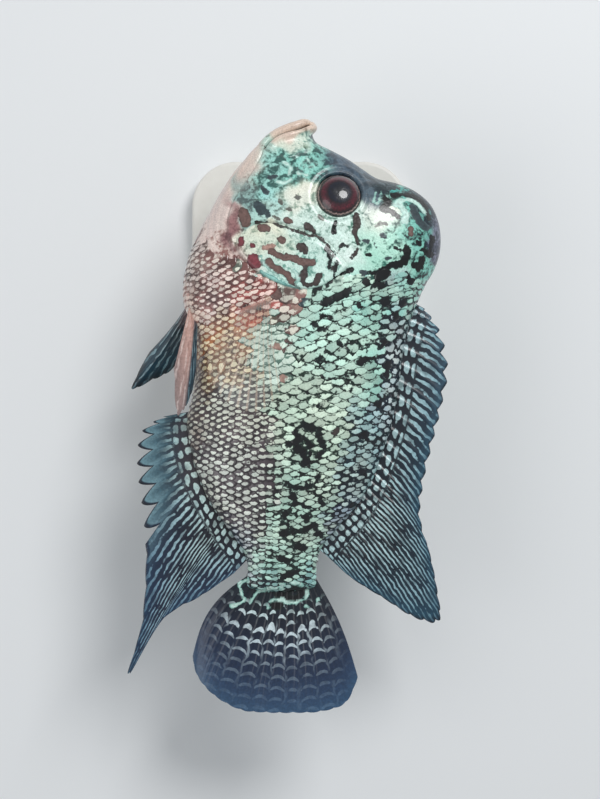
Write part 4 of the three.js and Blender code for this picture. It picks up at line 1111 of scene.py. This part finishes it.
def make_eye(name, side):
    point, normal = flank_frame(EYE_PLACE, side)
    turn = np.array(Vector((0, 0, 1)).rotation_difference(Vector(normal)).to_matrix())
    rings, columns = 60, 72
    turns = np.linspace(0, 2 * math.pi, columns, endpoint=False)
    theta, phi = np.meshgrid(np.linspace(0, math.pi, rings), turns, indexing="ij")
    radius = EYE_RADIUS * np.sin(theta)
    local = np.stack([radius * np.cos(phi), radius * np.sin(phi), EYE_DEPTH * np.cos(theta)], -1).reshape(-1, 3)
    eye = make_mesh(name, local @ turn.T + point - normal * EYE_SINK, grid_faces(rings, columns, closed=True))
    set_attribute(eye, "own_place", local)
    face_out(eye, columns * 3, normal)
    return eye


IRIS_RINGS = [(0.0, "#04060f"), (3.5, "#070b20"), (3.8, "#150812"), (4.4, "#3a0e1c"), (5.4, "#561625"),
              (6.0, "#3f0f18"), (6.35, "#1c080e"), (6.6, "#10060a"), (6.8, "#8f7672"), (6.95, "#a58d86"),
              (7.1, "#2a2022"), (7.6, "#0c1012")]


def iris_material():
    """Wet eye: blue-black pupil, maroon iris and a thin pale ring, all under one clear cornea."""
    material, add, shade = new_material("wet_maroon_eye", roughness=0.3, coat_weight=1.0, coat_roughness=0.02)
    own = add("Attribute", attribute_name="own_place")["Vector"]
    flat = add("VectorMath", (own, (1.0, 1.0, 0.0)), operation="MULTIPLY")[0]
    radius = add("VectorMath", (flat,), operation="LENGTH")["Value"]
    around = add("VectorMath", (flat,), operation="NORMALIZE")[0]
    fibres = add("TexNoise", {"Vector": around, "Scale": 9.0, "Detail": 5.0})["Fac"]
    sway = add("MapRange", (fibres, 0.3, 0.7, -0.16, 0.16))[0]
    moved = add("Math", (radius, sway), operation="ADD")[0]
    rings = add("ValToRGB", (add("MapRange", (moved, 0.0, EYE_RADIUS, 0.0, 1.0))[0],))[0]
    elements = rings.node.color_ramp.elements
    for index, (place, colour) in enumerate(IRIS_RINGS):
        element = elements[index] if index < 2 else elements.new(place / EYE_RADIUS)
        element.position, element.color = place / EYE_RADIUS, (*linear(colour), 1)
    value = uneven(add, own, 1.6, 4.0, 0.35, 0.7, 0.55, 1.5)
    shade("Base Color", add("HueSaturation", {"Color": rings, "Value": value})[0])
    shade("Normal", add("Bump", {"Strength": 0.4, "Distance": 0.0004, "Height": fibres})[0])
    return material


def plate_material():
    """Satin painted board: an even pale coat with a faint grain from the roller."""
    material, add, shade = new_material("satin_painted_board", roughness=0.45)
    position = add("NewGeometry")["Position"]
    grain = add("TexNoise", {"Vector": position, "Scale": 300.0, "Detail": 4.0})["Fac"]
    shade("Base Color", add("Mix", {0: grain, 6: "#dedbd4", 7: "#e9e7e1"}, data_type="RGBA")[2])
    shade("Normal", add("Bump", {"Strength": 0.12, "Distance": 0.0002, "Height": grain})[0])
    return material


def rod_material():
    """Brushed stainless steel: fine lines round the rod that draw its gloss out lengthwise."""
    material, add, shade = new_material("brushed_stainless_steel", roughness=0.32, metallic=1.0)
    position = add("NewGeometry")["Position"]
    # Lines 0.25 mm apart, coarser than a real brush's so that they show
    stretched = add("VectorMath", (position, (60.0, 60.0, 4000.0)), operation="MULTIPLY")[0]
    lines = add("TexNoise", {"Vector": stretched, "Scale": 1.0, "Detail": 2.0})["Fac"]
    shade("Base Color", add("Mix", {0: lines, 6: "#a9adb0", 7: "#d0d3d5"}, data_type="RGBA")[2])
    return material


def pectoral_material():
    """Clear fin membrane with faint beige rays and a fleshy root."""
    material, add, shade = new_material("clear_fin_membrane", roughness=0.3)
    lane, run, line = add("SeparateXYZ", (add("Attribute", attribute_name="own_place")["Vector"],))
    centred = add("Math", (add("Math", (lane,), operation="FRACT")[0], 0.5), operation="SUBTRACT")[0]
    centred = add("Math", (centred,), operation="ABSOLUTE")[0]
    on_ray = add("MapRange", (centred, 0.2, 0.08, 0.0, 1.0))[0]
    root = add("MapRange", (run, 0.5, 0.2, 0.0, 1.0))[0]
    colour = add("Mix", {0: on_ray, 6: "#b9c9c4", 7: "#d8c4ae"}, data_type="RGBA")[2]
    shade("Base Color", add("Mix", {0: root, 6: colour, 7: "#cf9c90"}, data_type="RGBA")[2])
    see_through = add("MapRange", (on_ray, 0.0, 1.0, 0.05, 0.2))[0]
    solid = add("Math", (root, 0.5), operation="MULTIPLY")[0]
    shade("Alpha", add("Math", (see_through, solid), operation="MAXIMUM")[0])
    return material


DORSAL_GUIDES = [
    (back_root(60), (63.5, 42.6)),
    (back_root(65), (71.5, 47.8), 0.6),
    (back_root(74), (84, 50.2), 1.2),
    (back_root(85), (97, 47.8), 1.2),
    (back_root(96), (109, 44.8), 1.2),
    (back_root(106), (122, 41.8), 1.2),
    (back_root(114), (134, 40.8), 1.4),
    (back_root(120), (147, 44.2), 1.8),
    (back_root(125), (159, 46.6), 2.0),
    (back_root(129), (169, 47.2), 1.6),
    (back_root(133), (168, 39), 1.0),
    (back_root(137), (161.5, 28.5), 0.4),
    (back_root(140.5), (154.5, 17.5)),
    (back_root(143), (147.5, 9.8)),
]
ANAL_GUIDES = [
    (belly_root(97.5), (99.8, -46.5)),
    (belly_root(102), (105, -53.6), -0.8),
    (belly_root(109), (116.5, -55.2), -1.2),
    (belly_root(116), (130, -53.6), -1.2),
    (belly_root(122), (147, -52.2), -1.4),
    (belly_root(128), (169, -53.4), -1.8),
    (belly_root(132), (187.5, -58.2), -1.6),
    (belly_root(136), (168.5, -46.4), -0.8),
    (belly_root(141), (160.2, -33.2)),
    (belly_root(145.5), (152.8, -22.4)),
]
CAUDAL_GUIDES = [
    ((153, 4.6), (188, 19.6), 1.6),
    ((154.5, 3.0), (196.4, 15.4), 0.6),
    ((155.5, 0.2), (199.4, 7.0)),
    ((156, -3.2), (200, -2.4)),
    ((156, -6.4), (200, -11.4)),
    ((156, -9.6), (199.2, -20.2)),
    ((155.5, -12.8), (194.5, -29.0), -1.0),
    ((154.5, -15.4), (188, -34.8), -2.4),
    ((153, -17.0), (181.5, -36.6), -4.2),
]
PECTORAL_GUIDES = [
    ((58.5, -9.6), (90, -5.8), -1.0),
    ((59.2, -11.2), (97, -11.2), -0.6),
    ((60.2, -13.4), (97.5, -18.2)),
    ((61.4, -15.6), (93, -25.2), 0.5),
    ((62.6, -17.6), (85.5, -29.6), 0.8),
    ((63.4, -19.0), (77.5, -29.8), 0.8),
]
PELVIC_LEFT_GUIDES = [
    ((58.2, -36.0), (84, -42.0)),
    ((59.2, -35.6), (98.5, -41.2), 0.6),
    ((60.4, -35.0), (97, -38.4), 0.4),
    ((61.6, -34.6), (91, -35.8)),
    ((62.6, -34.2), (84, -34.6)),
]
PELVIC_RIGHT_GUIDES = [
    ((58.2, -36.0), (78, -52.6), 0.8),
    ((59.2, -35.8), (90.2, -58.4), 1.2),
    ((60.4, -35.4), (87.4, -51.4), 0.8),
    ((61.6, -35.0), (84.6, -45.6), 0.4),
    ((62.6, -34.6), (80, -40.6)),
]
TAIL_CURL = 5.0
PECTORAL_SPREAD = 12.0
PELVIC_ROOT_Z = 4.2


def caudal_lift(share, reach, along, across):
    curl = TAIL_CURL * reach ** 2 * np.maximum(0, share - 0.5) * 2
    return MIDPLANE_Z - curl + 0.8 * reach * np.sin(share * 9)


def pectoral_lift(side):
    """The root follows the flank, 1 mm under its surface, and the fin stands off it towards its tip."""
    roots = [flank_frame(guide[0], LEFT)[0][2] - MIDPLANE_Z for guide in PECTORAL_GUIDES]
    middle = flank_frame((60.5, -14), LEFT)[0][2] - MIDPLANE_Z

    def lift(share, reach, along, across):
        root = np.interp(share, np.linspace(0, 1, len(roots)), roots) - 1.0
        spread = (PECTORAL_SPREAD + 1.1) * reach ** 0.9 + 0.8 * np.sin(across / 6) * reach
        return MIDPLANE_Z + side * (root + (middle - 1.2 - root) * reach ** 0.5 + spread)

    return lift


def pelvic_lift(side, spread):
    return lambda share, reach, along, across: (
        MIDPLANE_Z + side * (PELVIC_ROOT_Z + spread * reach + share * (1 - reach) * 0.6))


def behind_head(places):
    outline = np.array([(-20, -60)] + HEAD_EDGE + [(-20, 70)], float)
    return ~inside(places, outline)


class FishSettings(bpy.types.PropertyGroup):
    """Sizes and colours of the fish and its scene that a user may change."""
    scale_pitch: bpy.props.FloatProperty(
        name="Scale pitch", description="Distance along the flank from one scale to the next, at mid-body",
        default=SCALE_PITCH * MM, min=0.002, precision=4, unit="LENGTH")
    scale_row: bpy.props.FloatProperty(
        name="Scale row", description="Distance between neighbouring rows of scales, at mid-body",
        default=SCALE_ROW * MM, min=0.002, precision=4, unit="LENGTH")
    dorsal_rays: bpy.props.IntProperty(
        name="Dorsal rays", description="Number of spines and soft rays in the fin along the back",
        default=27, min=8)
    anal_rays: bpy.props.IntProperty(
        name="Anal rays", description="Number of spines and soft rays in the fin under the tail",
        default=18, min=6)
    tail_rays: bpy.props.IntProperty(
        name="Tail rays", description="Number of rays in the tail fin", default=16, min=6)
    floor_colour: bpy.props.FloatVectorProperty(
        name="Floor colour", description="Colour of the plain floor", default=linear("#e9ebec"), size=3,
        min=0.0, max=1.0, subtype="COLOR")
    light_power: bpy.props.FloatProperty(
        name="Light power", description="Power of the soft key light over the fish", default=5.8, min=0.0,
        unit="POWER")


class FISH_OT_skin(bpy.types.Operator):
    """Makes the one skin of the whole body, with the relief of the head."""
    bl_idname = "fish.skin"
    bl_label = "Skin"

    def execute(self, context):
        finish_piece(make_skin(), skin_material(), "skin", "head", "lower_jaw", "nuchal_hump", "gill_cover_left",
                     "gill_cover_right", "torso", "tail_stem")
        return {"FINISHED"}


class FISH_OT_scales(bpy.types.Operator):
    """Makes the coat of scales on both flanks."""
    bl_idname = "fish.scales"
    bl_label = "Scales"

    def execute(self, context):
        material = scale_material()
        settings = context.scene.fish_settings
        for side, name in SIDES:
            for part, rows in (("belly", range(-60, 0)), ("back", range(0, 60))):
                coat = scale_coat(f"scales_{part}_{name}", rows, side, len(part) + side,
                                  settings.scale_pitch / MM, settings.scale_row / MM)
                finish_piece(coat, material, "skin")
        return {"FINISHED"}


class FISH_OT_eyes(bpy.types.Operator):
    """Makes both eyes."""
    bl_idname = "fish.eyes"
    bl_label = "Eyes"

    def execute(self, context):
        wet_eye = iris_material()
        for side, name in SIDES:
            finish_piece(make_eye(f"eye_skin_{name}", side), wet_eye, "eye", f"eye_{name}")
        return {"FINISHED"}


class FISH_OT_median_fins(bpy.types.Operator):
    """Makes the dorsal, anal and tail fins."""
    bl_idname = "fish.median_fins"
    bl_label = "Median fins"

    def execute(self, context):
        dark = fin_material()
        settings = context.scene.fish_settings
        dorsal = fin_sheet("dorsal_fin_skin", DORSAL_GUIDES, settings.dorsal_rays, 90, 12, midplane_wave(15, 0),
                           [MEDIAN_STOPS], dorsal_streaks, spine_share=0.52, lobe=0.07, front_lobe=0.16,
                           tip_place=0.3, tip_shape=1.3, lanes=(1, 2))
        finish_piece(dorsal, dark, "fin", "dorsal_fin")
        anal = fin_sheet("anal_fin_skin", ANAL_GUIDES, settings.anal_rays, 90, 14, midplane_wave(13, 1),
                         [SPINY_ANAL_STOPS, SOFT_ANAL_STOPS], anal_streaks, spine_share=0.42, lobe=0.24,
                         tip_shape=1.5, lanes=(1, 2))
        finish_piece(anal, dark, "fin", "anal_fin")
        caudal = fin_sheet("caudal_fin_skin", CAUDAL_GUIDES, settings.tail_rays, 80, 16, caudal_lift,
                           [CAUDAL_STOPS], tail_streaks, fray=0.008, lanes=(0.75, 0.75))
        finish_piece(caudal, dark, "fin", "caudal_fin")
        return {"FINISHED"}


class FISH_OT_paired_fins(bpy.types.Operator):
    """Makes the clear pectoral fins and the pelvic fins with their long front rays."""
    bl_idname = "fish.paired_fins"
    bl_label = "Paired fins"

    def execute(self, context):
        dark, clear = fin_material(), pectoral_material()
        for side, name in SIDES:
            pectoral = fin_sheet(f"pectoral_fin_skin_{name}", PECTORAL_GUIDES, 12, 50, 12, pectoral_lift(side),
                                 [CAUDAL_STOPS], plain_streaks, ray_half=0.4, membrane_half=0.12)
            finish_piece(pectoral, clear, "pale_fin", f"pectoral_fin_{name}")
        for side, name, guides, spread, stops in (
                (LEFT, "left", PELVIC_LEFT_GUIDES, 5, [TRAILING_STOPS, PELVIC_STOPS]),
                (RIGHT, "right", PELVIC_RIGHT_GUIDES, 12, [PELVIC_STOPS])):
            pelvic = fin_sheet(f"pelvic_fin_skin_{name}", guides, 6, 60, 14, pelvic_lift(side, spread), stops,
                               plain_streaks, spine_share=0.5 if len(stops) > 1 else 0.0, ray_half=0.6)
            finish_piece(pelvic, dark, "fin", f"pelvic_fin_{name}")
        return {"FINISHED"}


class FISH_OT_stand(bpy.types.Operator):
    """Gives the stand's plate and rods their finish."""
    bl_idname = "fish.stand"
    bl_label = "Stand"

    def execute(self, context):
        plate, rod = plate_material(), rod_material()
        for name, material in (("stand_base", plate), ("stand_rod_front", rod), ("stand_rod_rear", rod)):
            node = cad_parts[name]
            node.data.materials.clear()
            node.data.materials.append(material)
        return {"FINISHED"}


# Place and size across in metres, and share of the key light's power
LIGHTS = {"key": ((0.35, 0.5, 0.8), 0.45, 1.0), "fill": ((-0.7, -0.2, 0.7), 0.8, 0.35)}
FRAME_HEIGHT_MM = PHOTO_ROWS * PIXEL
PHOTO_CENTRE = (0.0, -22.0, MIDPLANE_Z)
LENS_MM, SENSOR_MM = 85.0, 36.0
FLOOR_HALF, FLOOR_DROP = 3000, 0.3  # mm: half the floor's width, and how far it lies under the plate
SKY_COLOUR, SKY_STRENGTH = "#eef3f8", 0.4


class FISH_OT_stage(bpy.types.Operator):
    """Makes the floor, the lights and the camera."""
    bl_idname = "fish.stage"
    bl_label = "Stage"

    def execute(self, context):
        scene = context.scene
        corners = [(x * FLOOR_HALF, y * FLOOR_HALF, 0) for x, y in ((-1, -1), (1, -1), (1, 1), (-1, 1))]
        floor = make_mesh("floor", corners, [(0, 1, 2, 3)])
        colour = (*scene.fish_settings.floor_colour, 1)
        material, add, shade = new_material("matt_pale_floor", roughness=0.9, base_color=colour)
        floor.data.materials.append(material)
        floor.location.z = -FLOOR_DROP * MM
        world = bpy.data.worlds.new("soft_studio")
        scene.world = world
        world.use_nodes = True
        sky = world.node_tree.nodes["Background"].inputs
        sky["Color"].default_value = (*linear(SKY_COLOUR), 1)
        sky["Strength"].default_value = SKY_STRENGTH
        power = scene.fish_settings.light_power
        for name, (place, size, share) in LIGHTS.items():
            light = bpy.data.lights.new(f"{name}_light", "AREA")
            light.shape, light.energy, light.size = "DISK", power * share, size
            lamp = bpy.data.objects.new(f"{name}_light", light)
            scene.collection.objects.link(lamp)
            lamp.location = place
            lamp.rotation_euler = (-Vector(place)).to_track_quat("-Z", "Y").to_euler()
        camera_data = bpy.data.cameras.new("camera")
        camera_data.lens, camera_data.sensor_width = LENS_MM, SENSOR_MM
        camera_data.clip_start = 0.01
        camera = bpy.data.objects.new("camera", camera_data)
        scene.collection.objects.link(camera)
        distance = FRAME_HEIGHT_MM * LENS_MM / SENSOR_MM
        camera.location = (Vector(PHOTO_CENTRE) + Vector((0, 0, distance))) * MM
        scene.camera = camera
        scene.view_settings.view_transform = "Standard"
        return {"FINISHED"}


OPERATORS = (FISH_OT_stage, FISH_OT_skin, FISH_OT_scales, FISH_OT_eyes, FISH_OT_median_fins, FISH_OT_paired_fins,
             FISH_OT_stand)


class FISH_PT_panel(bpy.types.Panel):
    """Lists the steps that build the fish."""
    bl_idname = "FISH_PT_panel"
    bl_label = "Flowerhorn cichlid"
    bl_space_type = "VIEW_3D"
    bl_region_type = "UI"
    bl_category = "Fish"

    def draw(self, context):
        settings = context.scene.fish_settings
        for name in FishSettings.__annotations__:
            self.layout.prop(settings, name)
        for operator in OPERATORS:
            self.layout.operator(operator.bl_idname)


CLASSES = (FishSettings, *OPERATORS, FISH_PT_panel)


def register():
    for item in CLASSES:
        bpy.utils.register_class(item)
    bpy.types.Scene.fish_settings = bpy.props.PointerProperty(type=FishSettings)


def unregister():
    del bpy.types.Scene.fish_settings
    for item in reversed(CLASSES):
        bpy.utils.unregister_class(item)


def main():
    register()
    for operator in OPERATORS:
        group, name = operator.bl_idname.split(".")
        getattr(getattr(bpy.ops, group), name)()


if __name__ == "__main__":
    main()
